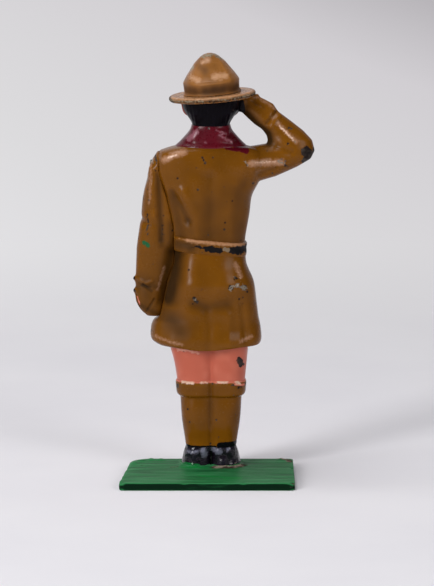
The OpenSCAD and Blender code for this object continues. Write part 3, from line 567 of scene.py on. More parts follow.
# Folds and the rounding of the seat; in front pleats, the closing edge and two buttons.
press(skirt, "back", ((0.9, 32.0), (0.3, 29.0), (0.6, 25.2), 0.9, 0.22),
      ((3.0, 33.4), (0.2, 32.8), (-3.0, 33.2), 1.2, 0.35), ((-2.6, 36.8), 2.8, -0.6),
      ((3.2, 36.7), 2.6, -0.6), ((7.6, 31.0), (8.6, 27.0), 1.2, 0.12),
      ((-5.8, 33.0), (-6.6, 26.0), 0.7, 0.25), ((3.2, 31.0), (3.9, 26.0), 1.3, -0.1),
      ((-3.2, 31.0), (-3.4, 26.0), 0.9, -0.2))
for x in (-5.5, -2.8, 2.8, 5.8):
    press(skirt, "front", ((x * 0.8, 38.0), (x, 25.5), 0.7, 0.25))
press(skirt, "front", ((0.5, 43.6), (0.7, 25.2), 0.25, 0.2))
for z in (40.0, 35.0):
    press(skirt, "front", ((-0.7, z), 0.5, -0.3))
for side in ("left", "right"):
    press(skirt, side, ((-1.7, 36.0), (-2.5, 25.5), 0.7, 0.25))
# The hem dips at the middle of the back.
dip_top, dip_deep, dip_middle, dip_wide = 26.6, 0.6, 1.0, 4.5
skirt_points = skin_of(skirt)[0]
dip = (skirt_points[:, 2] < dip_top) & (skirt_points[:, 1] > 2)
dip_across = np.exp(-((skirt_points[dip, 0] - dip_middle) / dip_wide) ** 2)
skirt_points[dip, 2] -= dip_deep * dip_across * np.clip((dip_top - skirt_points[dip, 2]) / 1.2, 0, 1)
reshape(skirt, skirt_points)
# Painted shade in the hollow beside the hand, on the lower left of the skirt and in the crease under the
# seat.
paint_shade(skirt,
     back=[((6.6, 43.0), (7.0, 38.5), (8.2, 33.8), 1.7, 0.42),
           ((8.6, 31.0), (7.0, 29.4), (6.0, 28.4), 2.2, 0.3),
           ((3.2, 33.1), (0.2, 32.6), (-3.2, 32.9), 1.2, 0.1)])
brush(skirt, "grey",
      back=[((-3.6, 36.2), (-4.0, 36.7), 0.25), ((-4.9, 36.8), 0.3), ((-5.9, 36.5), (-6.4, 36.1), 0.3),
            ((-4.5, 38.3), 0.1), ((3.0, 34.2), 0.1)])
# Painted glints over the worn seat.
brush(skirt, "painted_glint", back=[((-5.0, 36.9), -0.1), ((-5.1, 39.2), (-5.6, 37.6), -0.3)])
wear(skirt,
     back=[((2.7, 38.5), (2.4, 38.9), 0.02), ((-1.4, 39.9), 0.1), ((-3.7, 36.4), 0.5),
           ((-6.2, 36.3), 0.5), ((-6.8, 35.5), 0.15), ((-4.6, 38.1), 0.3), ((-5.0, 36.5), 0.1),
           ((3.2, 34.4), (2.7, 33.8), 0.3), ((2.6, 39.3), 0.0), ((-1.5, 40.4), 0.0), ((1.3, 41.9), -0.05),
           ((1.7, 36.2), 0.0), ((-6.0, 33.2), 0.0), ((-3.6, 29.2), 0.0)],
     front=[((4.4, 27.0), 0.5), ((-3.4, 34.0), 0.3), ((2.0, 31.2), 0.15)],
     left=[((1.0, 27.4), 0.4)],
     right=[((-1.5, 28.2), 0.4), ((2.4, 33.0), 0.2)])
# Painted highlights, partly rubbed paint, along the hem and on the right of the seat.
brush(skirt, "rubbed_and_highlight",
      back=[((10.4, 26.9), (8.0, 26.1), (5.4, 25.7), -0.25), ((-7.6, 26.9), (-5.6, 26.2), -0.2),
            ((-4.6, 40.6), (-5.6, 38.4), -0.1)])
carve(skirt, "tunic_skirt", khaki, [below(waist)])


# Belt
# A low cast band round the waist. It was painted black, and brown from the tunic has strayed over it
# at the back; the raised edges are rubbed bright, with a painted highlight along the top edge.
belt_rows = ((42.3, 7.4, 6.5, 4.6, 4.75), (42.6, 7.6, 6.66, 4.8, 4.95), (43.2, 7.7, 6.72, 4.92, 5.05),
             (44.0, 7.7, 6.68, 4.87, 4.98), (44.5, 7.7, 6.78, 4.94, 5.08), (44.8, 7.7, 6.78, 4.94, 5.05),
             (45.1, 7.5, 6.5, 4.66, 4.7))
belt_tilt = 0.1
belt_loops = rings(belt_rows, 0.8)
for loop in belt_loops:
    loop[:, 2] += belt_tilt * loop[:, 0]
band = melt([shell(beside_arm(belt_loops, -1))], grain=0.13, soften=3)
press(band, "back", ((6.5, 45.45), (-6.5, 44.15), 0.25, -0.12))
brush(band, "pale", back=[((-2.6, 43.6), (-3.2, 43.4), 0.3)])
# Painted shade on the belt's left end, beside the arm.
paint_shade(band, back=[((7.2, 44.4), (4.0, 43.8), 1.1, 0.28)])
# Painted highlight, partly rubbed paint, along the top edges of the belt.
brush(band, "edge_rub_and_highlight",
      back=[((4.4, 45.2), (-6.0, 44.3), 0.1), ((6.9, 45.6), (4.4, 45.3), -0.36)],
      front=[((6.9, 45.6), (-6.0, 44.35), -0.1)])
wear(band,
     back=[((3.6, 43.9), (2.6, 43.9), 0.0), ((2.8, 44.1), (0.9, 43.75), 0.22),
           ((0.6, 43.65), (-1.7, 43.4), 0.62), ((-4.1, 43.15), (-5.6, 43.0), 0.6),
           ((-6.5, 43.9), (-6.6, 42.6), 0.22)],
     front=[((-6.5, 43.3), (6.5, 44.5), 0.7)],
     left=[((-4, 44.5), (1.0, 44.5), 0.6)],
     right=[((-4, 43.4), (4, 43.4), 0.6)])
# Brown enamel over black enamel: where the brown is off, the glossy black shows instead of metal.
belt_paint = enamel("belt_enamel", "#6e4208", "#362004", "#8a540c", "#0b0709", "#150e10",
                    roughness=0.26, sheen=0.14, lump=3.0, swirl=0.06)
touch_up(belt_paint, "edge_rub_and_highlight", "#b3835e", grain=0.5, ragged=0.8, soft=0.35, cover=0.85)
touch_up(belt_paint, "pale", "#7f6d57")
carve(band, "belt", belt_paint)


# Belt buckle
# A plain square frame with a bar, cast on the front of the belt. Not seen in the photograph.
# Bare metal, rubbed by handling.
buckle_bars = (((-1.35, 43.7), (1.35, 43.7), 0.2), ((-1.35, 45.3), (1.35, 45.3), 0.2),
               ((-1.25, 43.7), (-1.25, 45.3), 0.2), ((1.25, 43.7), (1.25, 45.3), 0.2),
               ((-1.2, 44.5), (1.0, 44.5), 0.12))


def bar(start, end, half, front=4.9, thick=0.5, bite=0.1):
    """A rounded bar between two places on the figure's front, sunk in the belt by its bite."""
    a, b = np.array(start, float), np.array(end, float)
    along = (b - a) / np.linalg.norm(b - a)
    side = np.array((-along[1], along[0]))
    turn = once_round(16)
    loops = []
    for share in (0.0, 1.0):
        flat = a + (b - a) * share + side * (half * np.cos(turn))[:, None]
        loops.append(np.stack([flat[:, 0], -front + thick / 2 * np.sin(turn) - thick / 2 + bite,
                               flat[:, 1]], 1))
    return shell(loops)


buckle_cast = melt([bar(*sizes) for sizes in buckle_bars], grain=0.08, soften=3)
# Bare type metal: grey, softly brushed by handling, with dull tarnish in patches of about 0.8 mm.
type_metal, metal_tree, metal_shader = shaded("bare_type_metal")
metal_place = add(metal_tree, "TexCoord", out="Object")
tarnish = add(metal_tree, "TexNoise", {"Vector": metal_place, "Scale": 1 / (0.8 * MM), "Detail": 4.0})
metal_tones = (0.3, linear("#45413b")), (0.7, linear("#9a9389"))
metal_tone = add(metal_tree, "ValToRGB", {0: tarnish}, stops=metal_tones)
metal_rough = add(metal_tree, "MapRange", {0: tarnish, 1: 0.0, 2: 1.0, 3: 0.55, 4: 0.3})
metal_bump = add(metal_tree, "Bump", {"Height": tarnish, "Strength": 0.3, "Distance": 0.05 * MM})
metal_shader.inputs["Metallic"].default_value = 1.0
for source, socket in ((metal_tone, "Base Color"), (metal_rough, "Roughness"), (metal_bump, "Normal")):
    metal_tree.links.new(source, metal_shader.inputs[socket])
carve(buckle_cast, "belt_buckle", type_metal, name="square_buckle")


# Tunic body and saluting arm
# The back, chest and shoulders of the tunic, cast in one with the raised right arm and its hand.
# Glossy brown enamel with drag folds to the shoulders, worn to black and bare metal on the elbow.
torso_rows = ((43.4, 7.7, 6.4, 4.6, 4.6), (45.4, 7.8, 6.5, 4.65, 4.65), (49.65, 8.5, 7.24, 5.23, 5.06),
              (53.05, 9.4, 7.7, 5.61, 5.39), (55.6, 10.4, 8.94, 5.67, 5.39),
              (58.66, 11.2, 10.4, 5.28, 5.2), (61.04, 10.5, 9.88, 4.51, 4.9), (62.0, 8.6, 8.6, 4.1, 4.6),
              (62.6, 6.4, 6.4, 3.8, 4.1), (63.0, 5.2, 5.2, 3.5, 3.5))
# Sections of the arm from the shoulder to the fingertips: middle, half width, its turn, half depth.
arm_sections = (((-6.5, 0, 58.9), 3.4, 90, 3.3), ((-8.2, 0, 59.1), 3.45, 90, 3.3),
                ((-10.91, -0.12, 59.77), 3.28, 67, 2.94), ((-13.29, -0.24, 60.69), 3.65, 36, 2.74),
                ((-14.58, -0.36, 61.43), 4.38, 18.5, 2.63), ((-14.98, -0.48, 62.22), 4.55, 8, 2.58),
                ((-14.81, -0.64, 63.51), 4.18, 0, 2.52), ((-13.91, -0.88, 64.80), 3.51, -6.5, 2.41),
                ((-12.38, -1.16, 66.21), 2.9, -14, 2.3), ((-10.40, -1.44, 67.61), 2.52, -29, 2.07),
                ((-9.33, -1.68, 68.84), 2.73, -30, 1.85), ((-7.8, -1.88, 69.95), 2.5, -27, 1.5),
                ((-7.1, -2.0, 71.0), 2.15, -12, 1.3), ((-7.0, -2.0, 71.9), 1.9, -4.5, 1.12))
salute_loops = []
arm_turn = once_round(64)
for (x, y, z), half, turned, depth in arm_sections:
    wide, deep = (reach_out * np.sign(f) * np.abs(f) ** 0.9
                  for reach_out, f in ((half, np.cos(arm_turn)), (depth, np.sin(arm_turn))))
    lean = math.radians(turned)
    salute_loops.append(np.stack([x + wide * math.cos(lean), y + deep, z + wide * math.sin(lean)], 1))
# A thin web between the hand and the head, painted black: a dark fill that stands in for the shade
# between them.
shade_web_rows = ((68.7, -5.2, 6.2, 2.4, -1.0), (69.2, -4.7, 7.0, 2.7, -0.6), (70.6, -4.8, 7.2, 2.9, -0.4),
            (71.4, -4.9, 7.0, 2.7, -0.6))
tunic = melt([shell(beside_arm(rings(torso_rows, 0.8), -1)), shell(salute_loops), form(shade_web_rows, 1.0)],
             grain=0.2, soften=5)
# Folds dragged from the waist to both shoulders, the spine's hollow, and the armholes.
press(tunic, "back", ((7.4, 54.2), (5.8, 51.6), (4.6, 49.2), (4.1, 48.6), 0.75, 0.32),
      ((4.4, 48.9), 0.8, 0.2), ((7.4, 53.0), (6.4, 49.5), (6.0, 46.0), 1.3, 0.5),
      ((5.2, 54.5), (3.0, 50.0), (2.6, 46.5), 1.0, -0.3),
      ((0.0, 57.0), (0.3, 50.0), (0.2, 46.0), 1.2, 0.3),
      ((-4.6, 55.5), (-3.4, 50.5), (-3.6, 46.5), 1.3, -0.3),
      ((-6.6, 60.8), (-6.9, 58.0), (-6.3, 55.6), 0.7, 0.12), ((-7.0, 59.6), 2.8, -0.85),
      ((-8.0, 59.9), (-10.5, 59.8), (-13.2, 59.5), 1.3, -0.25), ((8.8, 60.4), (6.0, 61.4), 1.3, -0.25),
      ((-9.0, 57.6), (-12.0, 58.4), 0.6, 0.3), ((-12.4, 62.6), (-15.0, 61.6), 0.6, 0.25),
      ((-12.2, 68.9), (-10.4, 66.9), 0.3, 0.3), ((-12.9, 68.2), (-11.2, 66.2), 0.4, -0.2))
# In front the closing edge with its buttons, and two pockets.
press(tunic, "front", ((0.4, 62.0), (0.5, 45.4), 0.25, 0.2))
for z in (48.0, 51.5, 55.0):
    press(tunic, "front", ((-0.6, z), 0.5, -0.3))
for sign in (-1, 1):
    press(tunic, "front", ((sign * 2.6, 56.2), (sign * 5.8, 56.4), 0.25, -0.2),
          ((sign * 2.5, 56.0), (sign * 2.6, 51.6), (sign * 5.6, 51.6), (sign * 5.9, 56.0), 0.25, 0.15))
press(tunic, "front", ((-9.0, 57.6), (-12.4, 58.6), 0.6, 0.25))
# The gaps between the saluting fingers.
for k in range(3):
    finger_gap = (-9.9 + 0.75 * k, 69.6 + 0.35 * k), (-8.2 + 0.35 * k, 71.0), 0.16, 0.14
    press(tunic, "back", finger_gap)
    press(tunic, "front", finger_gap)
# Painted shade in the folds, beside the left arm, across the back, between hand and head, and under the
# forearm.
paint_shade(tunic,
     back=[((7.2, 54.0), (5.8, 51.6), (4.3, 48.8), 0.8, 0.12),
           ((7.2, 52.5), (6.5, 49.5), (6.0, 45.6), 1.6, 0.14), ((-6.0, 46.0), (6.0, 46.6), 3.5, 0.14),
           ((-4.0, 54.0), (0.0, 52.0), (1.0, 49.0), 3.0, 0.12), ((-5.4, 70.6), (-6.4, 69.6), 1.2, 0.3),
           ((-6.6, 68.4), (-8.4, 66.6), (-10.5, 64.8), (-10.7, 63.6), 0.9, 0.7)])
brush(tunic, "maroon", back=[((-3.0, 62.8), (-5.0, 62.5), (-6.7, 62.1), 0.42)])
# Painted highlights, partly rubbed paint, on the right upper arm, the forearm, the left shoulder and the
# top of the hand.
brush(tunic, "rubbed_and_highlight",
      back=[((-7.4, 59.8), (-10.5, 59.7), (-13.2, 59.7), 0.15),
            ((-12.4, 66.9), (-14.2, 65.1), (-16.0, 63.4), -0.15),
            ((8.8, 60.3), (7.0, 61.2), (5.0, 61.9), 0.1),
            ((-8.6, 71.6), (-10.6, 70.4), (-12.0, 69.3), -0.35)])
# Painted glints inside the painted highlights on the arm and shoulder.
brush(tunic, "painted_glint",
      back=[((-8.4, 59.9), (-12.0, 59.8), -0.12), ((-12.9, 66.3), (-15.4, 63.8), -0.12),
            ((8.0, 60.8), (6.4, 61.4), -0.15)])
# Painted shade: the web between hand and head is painted black.
brush(tunic, "black", back=[((-5.2, 71.0), (-5.6, 69.2), 0.8)])
brush(tunic, "grey",
      back=[((-6.4, 60.2), (-6.9, 59.3), 0.0), ((-12.6, 59.9), (-13.6, 59.6), 0.05),
            ((-12.9, 66.4), (-15.9, 63.4), -0.12)])
wear(tunic,
     back=[((4.8, 55.3), 0.0), ((0.3, 57.7), 0.02), ((-2.5, 55.4), 0.05), ((0.5, 46.3), 0.12),
           ((-13.0, 60.1), 0.15), ((-14.6, 66.0), 0.15), ((1.5, 60.9), (1.1, 59.9), 0.15),
           ((-0.4, 60.9), 0.1), ((0.5, 58.1), 0.0), ((-6.4, 60.1), (-6.8, 59.4), 0.1),
           ((4.7, 55.6), 0.05), ((0.2, 54.7), 0.0), ((2.4, 48.1), 0.0), ((0.6, 46.7), 0.05),
           ((-3.0, 46.3), 0.1), ((-8.8, 56.2), (-11.3, 57.2), (-13.4, 58.2), -0.08),
           ((-12.5, 59.9), 0.15), ((-13.6, 59.3), (-14.2, 58.9), 0.15), ((-15.4, 58.8), 0.05),
           ((-15.0, 64.0), 0.05), ((-17.8, 61.6), (-18.8, 60.6), (-17.9, 59.7), 0.95),
           ((-15.0, 65.8), 0.2), ((-14.4, 63.2), 0.2), ((-13.2, 60.2), 0.2), ((-11.4, 57.6), 0.2),
           ((-7.9, 55.9), 0.25)],
     right=[((0.0, 61.4), (-0.6, 60.0), 0.9)],
     front=[((-18.0, 60.8), 0.7), ((3.6, 58.8), 0.4), ((-4.4, 52.8), 0.25), ((1.8, 50.0), 0.1),
            ((-11.0, 60.0), 0.3)])
armhole, forearm_inner = -8.2, -8.05
neck_top, hand_foot = 63.5, 65.5
elbow_cut = ((-14.98, -0.48, 62.22), (-0.139, 0, 0.99))
wrist_cut = ((-10.40, -1.44, 67.61), (0.485, 0, 0.875))


def other_side(cut):
    """The same cut, keeping what lies on its other side."""
    return cut[0], tuple(-k for k in cut[1])


tunic_cuts = {"tunic_body": [((armhole, 0, 0), (1, 0, 0)), below(neck_top)],
              "right_upper_arm": [((armhole, 0, 0), (-1, 0, 0)), other_side(elbow_cut)],
              "right_forearm": [((forearm_inner, 0, 0), (-1, 0, 0)), elbow_cut, other_side(wrist_cut)],
              "right_hand": [above(hand_foot), wrist_cut]}
for name, cuts in tunic_cuts.items():
    carve(tunic, name, khaki, cuts)


# Neckerchief
# A scarf rolled round the neck and lying on the shoulders, cast with the tunic. The end that dips to
# the figure's right is only painted on the tunic. Deep maroon enamel, thick and glossy in lumpy folds.
kerchief_rows = ((62.2, 6.8, 6.8, 3.9, 4.1), (62.7, 6.6, 6.6, 4.0, 4.25), (63.47, 5.76, 5.76, 3.75, 3.75),
                 (64.53, 4.79, 4.79, 3.55, 3.55), (65.6, 3.95, 3.95, 3.4, 3.4),
                 (66.7, 3.6, 3.6, 3.3, 3.3))
collar = 66.5
kerchief_cast = melt([form(kerchief_rows, 0.9)], grain=0.15, soften=5)
press(kerchief_cast, "back", ((2.8, 65.4), (3.2, 64.6), 1.0, -0.4),
      ((-1.8, 65.6), (-3.0, 65.2), (-2.6, 64.4), (-4.0, 63.6), 0.45, -0.3))
press(kerchief_cast, "front", ((6.0, 63.0), (1.5, 61.6), 0.4, 0.3),
      ((-6.0, 63.0), (-1.5, 61.6), 0.4, 0.3))
wear(kerchief_cast, back=[((-6.6, 61.6), 0.1), ((2.6, 62.6), 0.0)], front=[((3.0, 63.0), 0.1)])
# Maroon enamel: a thick wet-looking gloss, with painted highlights in paler rose on the ridges.
maroon = enamel("maroon_enamel", "#520917", "#30040d", "#6a1120", "#2a1414", "#6d5a56",
                roughness=0.28, sheen=0.27, lump=4.0, swirl=0.2, speck=0.8)
touch_up(maroon, "rubbed_and_highlight", "#a8707c", grain=0.4, ragged=0.8, soft=0.4, cover=0.6)
# Painted highlights on the left fold and along the squiggle at the right.
brush(kerchief_cast, "rubbed_and_highlight",
      back=[((4.1, 64.1), (2.7, 65.5), 0.2),
            ((-1.1, 65.8), (-2.4, 65.2), (-1.6, 64.9), (-3.0, 64.0), (-3.8, 63.6), -0.15),
            ((1.0, 63.6), -0.1)])
carve(kerchief_cast, "neckerchief", maroon, [below(collar)])


# Neckerchief knot
# The knot and its two short tails, lying on the chest below the throat. Not seen in the photograph.
# The same thick maroon enamel.
knot_rows = ((61.2, 0.9, 0.9, 5.3, -4.2), (62.0, 1.2, 1.2, 5.35, -4.0), (63.0, 1.1, 1.1, 5.1, -3.8),
             (63.7, 0.8, 0.8, 4.7, -3.8))
tail_rows = ((56.8, 1.7, -0.4, 5.9, -5.0), (57.4, 1.75, -0.2, 6.1, -5.0), (59.4, 1.3, 0.1, 5.95, -4.9),
             (61.6, 0.7, 0.3, 5.3, -4.4))
knot_cast = melt([form(knot_rows, 0.9), form(tail_rows, 0.8), form(mirrored(tail_rows), 0.8)],
                 grain=0.12, soften=4)
press(knot_cast, "front", ((-0.9, 61.9), (0.9, 62.3), 0.25, 0.15))
wear(knot_cast, front=[((1.0, 57.6), 0.1)])
carve(knot_cast, "neckerchief_knot", maroon)


# Head and hair
# The head cast solid under the hat, with close-cut hair behind the ears. The face is a plain calm one.
# Salmon flesh enamel in front and on the ears; navy-black hair, thick and shiny, at the back.
head_rows = ((65.4, 3.3, 3.3, 3.1, 3.1), (66.5, 3.5, 3.5, 3.5, 3.25), (67.18, 3.77, 3.77, 4.4, 3.55),
             (68.05, 4.33, 4.33, 4.95, 3.95), (69.17, 5.05, 5.05, 5.1, 4.45),
             (70.14, 5.3, 5.3, 5.1, 4.75), (71.2, 5.35, 5.35, 5.0, 4.85), (72.4, 5.3, 5.3, 5.0, 4.85))
head_cast = melt([form(head_rows, 0.85)], grain=0.12, soften=6)
# Nose, eye sockets, brows and cheeks; mouth, lip and chin; the ears; the combed hair.
press(head_cast, "front", ((0, 69.9), (0, 68.7), 0.5, -0.5), ((-0.25, 68.75), (0.25, 68.75), 0.4, -0.3))
for sign in (-1, 1):
    press(head_cast, "front", ((sign * 1.2, 70.1), (sign * 2.3, 70.1), 0.42, 0.3),
          ((sign * 1.0, 70.75), (sign * 2.6, 70.8), 0.3, -0.18), ((sign * 2.5, 68.9), 0.9, -0.15))
press(head_cast, "front", ((-0.9, 67.95), (0.9, 67.95), 0.16, 0.16),
      ((-0.5, 67.65), (0.5, 67.65), 0.3, -0.15), ((0, 67.0), 0.7, -0.2))
for side in ("left", "right"):
    press(head_cast, side, ((-0.9, 70.3), (-1.0, 69.2), (-1.3, 68.6), 0.5, -0.35),
          ((-1.0, 70.0), (-1.1, 69.3), 0.22, 0.25))
for k in range(-6, 7):
    press(head_cast, "back", ((k * 0.78, 71.4), (k * 0.58 + 0.15, 66.7), 0.16, 0.05))
# Painted shade on the left ear, under the brim.
paint_shade(head_cast, left=[((-0.5, 70.8), (-0.8, 68.2), 1.3, 0.6)])
wear(head_cast, front=[((2.8, 68.4), 0.05)], back=[((-4.2, 69.6), 0.0)])
# Eyes, brows and lips are touched in with a fine brush.
eyes = [((sign * 1.45, 70.05), (sign * 2.05, 70.05), 0.05) for sign in (-1, 1)]
brows = [((sign * 1.0, 70.75), (sign * 2.5, 70.8), -0.05) for sign in (-1, 1)]
brush(head_cast, "ink", front=eyes + brows)
sideburn = [((0.5, 71.3), (-1.4, 71.2), 0.45), ((-1.4, 71.2), (-1.5, 70.3), 0.12),
            ((0.3, 70.6), (0.3, 69.6), 0.3)]
brush(head_cast, "hair", left=sideburn, right=sideburn)
brush(head_cast, "lip", front=[((-0.7, 67.85), (0.7, 67.85), 0.05)])
# Flesh enamel on the face: the same salmon coat, a little glossier, with deeper painted shade in its
# hollows.
face_flesh = enamel("face_flesh_enamel", "#d8745a", "#8f4b3e", "#e28a70", "#1c1310", "#3d2e28",
                    roughness=0.3, sheen=0.25, lump=3.0, swirl=0.08, speck=0.9)
for attribute, code in (("lip", "#a8362f"), ("ink", "#21130e"), ("hair", "#070409")):
    touch_up(face_flesh, attribute, code)
# Navy enamel: so dark that it shows its blue only where it catches the light.
hair_navy = enamel("navy_hair_enamel", "#070409", "#040206", "#100c18", "#2a1d1a", "#4d423c",
                   roughness=0.32, sheen=0.06, lump=2.0, speck=0.9)
hair_front = -0.5
hat_lean = math.radians(4.5)
hat_middle = np.array((-0.3, -0.3, 71.35))
brim_cut = (tuple(hat_middle), (-math.sin(hat_lean), 0, -math.cos(hat_lean)))
for name, finish, slot, hairline in (("head", face_flesh, "flesh_paint", (0.12, -0.99, 0)),
                                     ("hair", hair_navy, "navy_paint", (-0.12, 0.99, 0))):
    carve(head_cast, name, finish, [((0, hair_front, 0), hairline), brim_cut, above(collar)])


# Hat brim
# The stiff flat brim of the campaign hat, leaning to the figure's left, soldered over the head.
# Tan enamel, lighter than the tunic, rubbed to grey metal along its edge.
brim_profile = ((7.3, 0.0), (7.8, 0.05), (8.1, 0.3), (8.17, 0.6), (8.08, 0.9), (7.8, 1.1), (7.2, 1.12),
                (6.4, 1.02), (5.4, 1.05), (4.6, 1.2), (3.0, 1.25))


def on_hat(points):
    """Points of the upright hat, set on the head with the hat's lean."""
    x, y, z = np.asarray(points, float).T
    return np.stack([hat_middle[0] + x * math.cos(hat_lean) + z * math.sin(hat_lean), hat_middle[1] + y,
                     hat_middle[2] - x * math.sin(hat_lean) + z * math.cos(hat_lean)], 1)


around = once_round(128)
brim_loops = [on_hat(np.stack([r * np.cos(around), r * np.sin(around), np.full_like(around, z)], 1))
              for r, z in brim_profile]
brim_cast = melt([shell(brim_loops)], grain=0.14, soften=3)
# Dents along the rim.
press(brim_cast, "top", ((4.2, 6.9), 0.5, 0.15), ((-3.1, 7.5), 0.7, 0.12), ((-6.8, 4.2), 0.6, 0.2),
      ((7.0, 3.6), 0.6, 0.15), ((0.8, 8.0), 0.6, 0.1), ((3.0, -7.6), 0.7, 0.2))
wear(brim_cast,
     back=[((7.6, 71.0), (4.0, 71.3), (0.0, 71.6), (-4.0, 71.95), (-8.0, 72.3), 0.05),
           ((7.8, 71.6), (7.2, 70.9), 0.35), ((6.0, 72.1), 0.1), ((-4.6, 71.9), (-7.6, 72.3), 0.0),
           ((0.6, 71.5), -0.05)],
     top=[((5.6, 5.2), 0.05), ((-6.6, 4.4), (-7.6, 2.4), 0.05)],
     front=[((7.6, 71.0), (0.0, 71.6), (-8.0, 72.3), 0.0)],
     left=[((-4.0, 71.0), (4.0, 71.0), 0.02)],
     right=[((-4.0, 72.3), (4.0, 72.3), 0.0)])
# Tan enamel: a warm gloss with painted highlights in cream on the ridges, and grey metal along the edges.
hat_tan = enamel("tan_enamel", "#8a5a2a", "#432a14", "#a87444", "#2a1d14", "#6f6355",
                 roughness=0.28, sheen=0.16, lump=3.0, swirl=0.12, speck=0.74)
touch_up(hat_tan, "rubbed_and_highlight", "#c99d7a", grain=0.5, ragged=0.9, soft=0.65, cover=0.6)
touch_up(hat_tan, "grey", "#857761", grain=0.4, ragged=1.2)
brim_rub = ((7.6, 71.4), (4.0, 71.6), (0.0, 71.9), (-4.0, 72.2), (-7.6, 72.6), -0.02)
brush(brim_cast, "grey", back=[brim_rub], front=[brim_rub],
      left=[((-4.5, 71.3), (4.5, 71.3), -0.02)], right=[((-4.5, 72.6), (4.5, 72.6), -0.02)])
# Painted highlight along the upper edge of the brim at the back.
brush(brim_cast, "rubbed_and_highlight",
      back=[((7.2, 71.8), (4.0, 72.05), (0.0, 72.35), (-4.0, 72.65), (-7.4, 73.0), -0.2)])
# Painted shade: the edge of the brim is made darker than its flat faces.
note(brim_cast, "painted_shade", 0.5 * np.clip(1.2 - 1.6 * np.abs(skin_of(brim_cast)[1][:, 2]), 0, 1))
carve(brim_cast, "hat_brim", hat_tan)


# Hat crown
# The tall crown, pinched into four dents that meet in a small peak, with a narrow band at its foot.
# The same tan enamel, worn through on the peak and the ridges between the dents.
crown_half = (5.3, 5.6)
crown_foot, crown_seat, crown_high = 1.1, 1.2, 7.4
# The melting takes this much off the peak, so the loops rise higher by as much.
peak_loss = 0.12
# Shares of the height and the width, then how deep the dents are at the back and at the sides.
crown_shares = ((0, 1.05, 0, 0), (0.07, 0.98, 0, 0), (0.2, 0.985, 0, 0), (0.3, 1.0, 0.0, 0),
                (0.35, 0.99, 0.14, 0.02), (0.47, 0.9, 0.2, 0.04), (0.625, 0.74, 0.2, 0.05),
                (0.775, 0.57, 0.15, 0.04), (0.86, 0.43, 0.08, 0.02), (0.925, 0.32, 0.03, 0),
                (0.97, 0.22, 0, 0), (1.0, 0.09, 0, 0))
crown_loops = []
for up, wide, back_dent, side_dent in crown_shares:
    lobe = np.cos(2 * around)
    pinch = wide * (1 - np.where(lobe < 0, back_dent, side_dent) * np.abs(lobe) ** 0.6)
    height = np.full_like(around, crown_foot + up * (crown_high + peak_loss))
    crown_loops.append(on_hat(np.stack([crown_half[0] * pinch * np.cos(around),
                                        crown_half[1] * pinch * np.sin(around), height], 1)))
crown_cast = melt([shell(crown_loops)], grain=0.12, soften=2)
# Painted shade on the band at the crown's foot, on its sides and in the back dent.
band_shade, side_shade = ((-5, 73.9), (5, 73.1), 1.0, 0.32), ((-5, 73.4), (5, 73.4), 0.9, 0.2)
paint_shade(crown_cast, back=[band_shade, ((2.2, 77.6), (1.2, 77.0), 0.9, 0.24)], front=[band_shade],
     left=[side_shade], right=[side_shade])
# Painted highlights on the back panel of the crown and near the peak.
brush(crown_cast, "rubbed_and_highlight",
      back=[((3.6, 75.7), (2.4, 75.3), 0.0), ((-0.6, 76.0), (-2.6, 76.0), 0.15),
            ((1.6, 78.4), (0.4, 78.8), -0.2)])
brush(crown_cast, "grey",
      back=[((5.2, 74.8), (4.7, 76.2), (3.4, 77.5), 0.12),
            ((1.6, 79.4), (-0.6, 79.8), (-2.0, 79.0), 0.1)])
wear(crown_cast,
     back=[((1.2, 79.6), (-1.2, 79.4), (-2.0, 78.8), 0.02), ((1.6, 74.2), -0.05)],
     front=[((-3.0, 76.4), 0.1)],
     left=[((0.6, 76.8), 0.1)],
     right=[((-3.4, 75.0), 0.15)])
crown_cut = (on_hat([(0, 0, crown_seat)])[0], (math.sin(hat_lean), 0, math.cos(hat_lean)))
carve(crown_cast, "hat_crown", hat_tan, [crown_cut])


# Left arm and hand
# The hanging left arm, a casting of its own that turns on a stud at the shoulder, with the hand
# below its cuff. Brown enamel, worn to metal where the arm rubs the shoulder, and flesh on the
# hand's front.
# Height, reach to the left and to the right, below 0 on the left of the axis, and half depth.
sleeve_rows = ((61.46, 10.1, -8.0, 1.6), (60.84, 10.45, -8.0, 2.3), (59.82, 11.1, -8.0, 2.8),
               (58.8, 11.6, -8.0, 2.97), (57.58, 11.85, -8.0, 2.97), (56.56, 11.95, -8.0, 2.97),
               (55.74, 12.15, -7.9, 2.97), (54.93, 12.38, -7.6, 2.97), (53.9, 12.62, -7.2, 2.95),
               (52.28, 12.88, -6.7, 2.92), (49.83, 13.12, -6.0, 2.89), (47.18, 13.46, -5.5, 2.86),
               (45.54, 13.7, -5.4, 2.83), (43.3, 14.0, -5.4, 2.8), (42.28, 14.04, -5.4, 2.74),
               (40.24, 14.12, -5.6, 2.62), (38.2, 14.2, -6.2, 2.5), (36.9, 14.3, -6.9, 2.4),
               (35.6, 14.1, -7.6, 2.2), (35.2, 13.6, -8.0, 1.9))
hand_rows = ((38.0, 13.6, -6.5, 2.0), (36.92, 13.9, -6.8, 2.1), (35.0, 14.3, -7.3, 2.2),
             (33.0, 14.15, -7.8, 2.1), (31.24, 13.2, -8.6, 1.65), (30.2, 12.0, -9.4, 0.9))
wrist = 38.2
arm_loops = [rings([(*row, row[-1]) for row in rows], 0.9) for rows in (sleeve_rows, hand_rows)]
arm_cast = melt([shell(beside_arm([loop[::-1] for loop in loops], 1)) for loops in arm_loops],
                grain=0.17, soften=4)
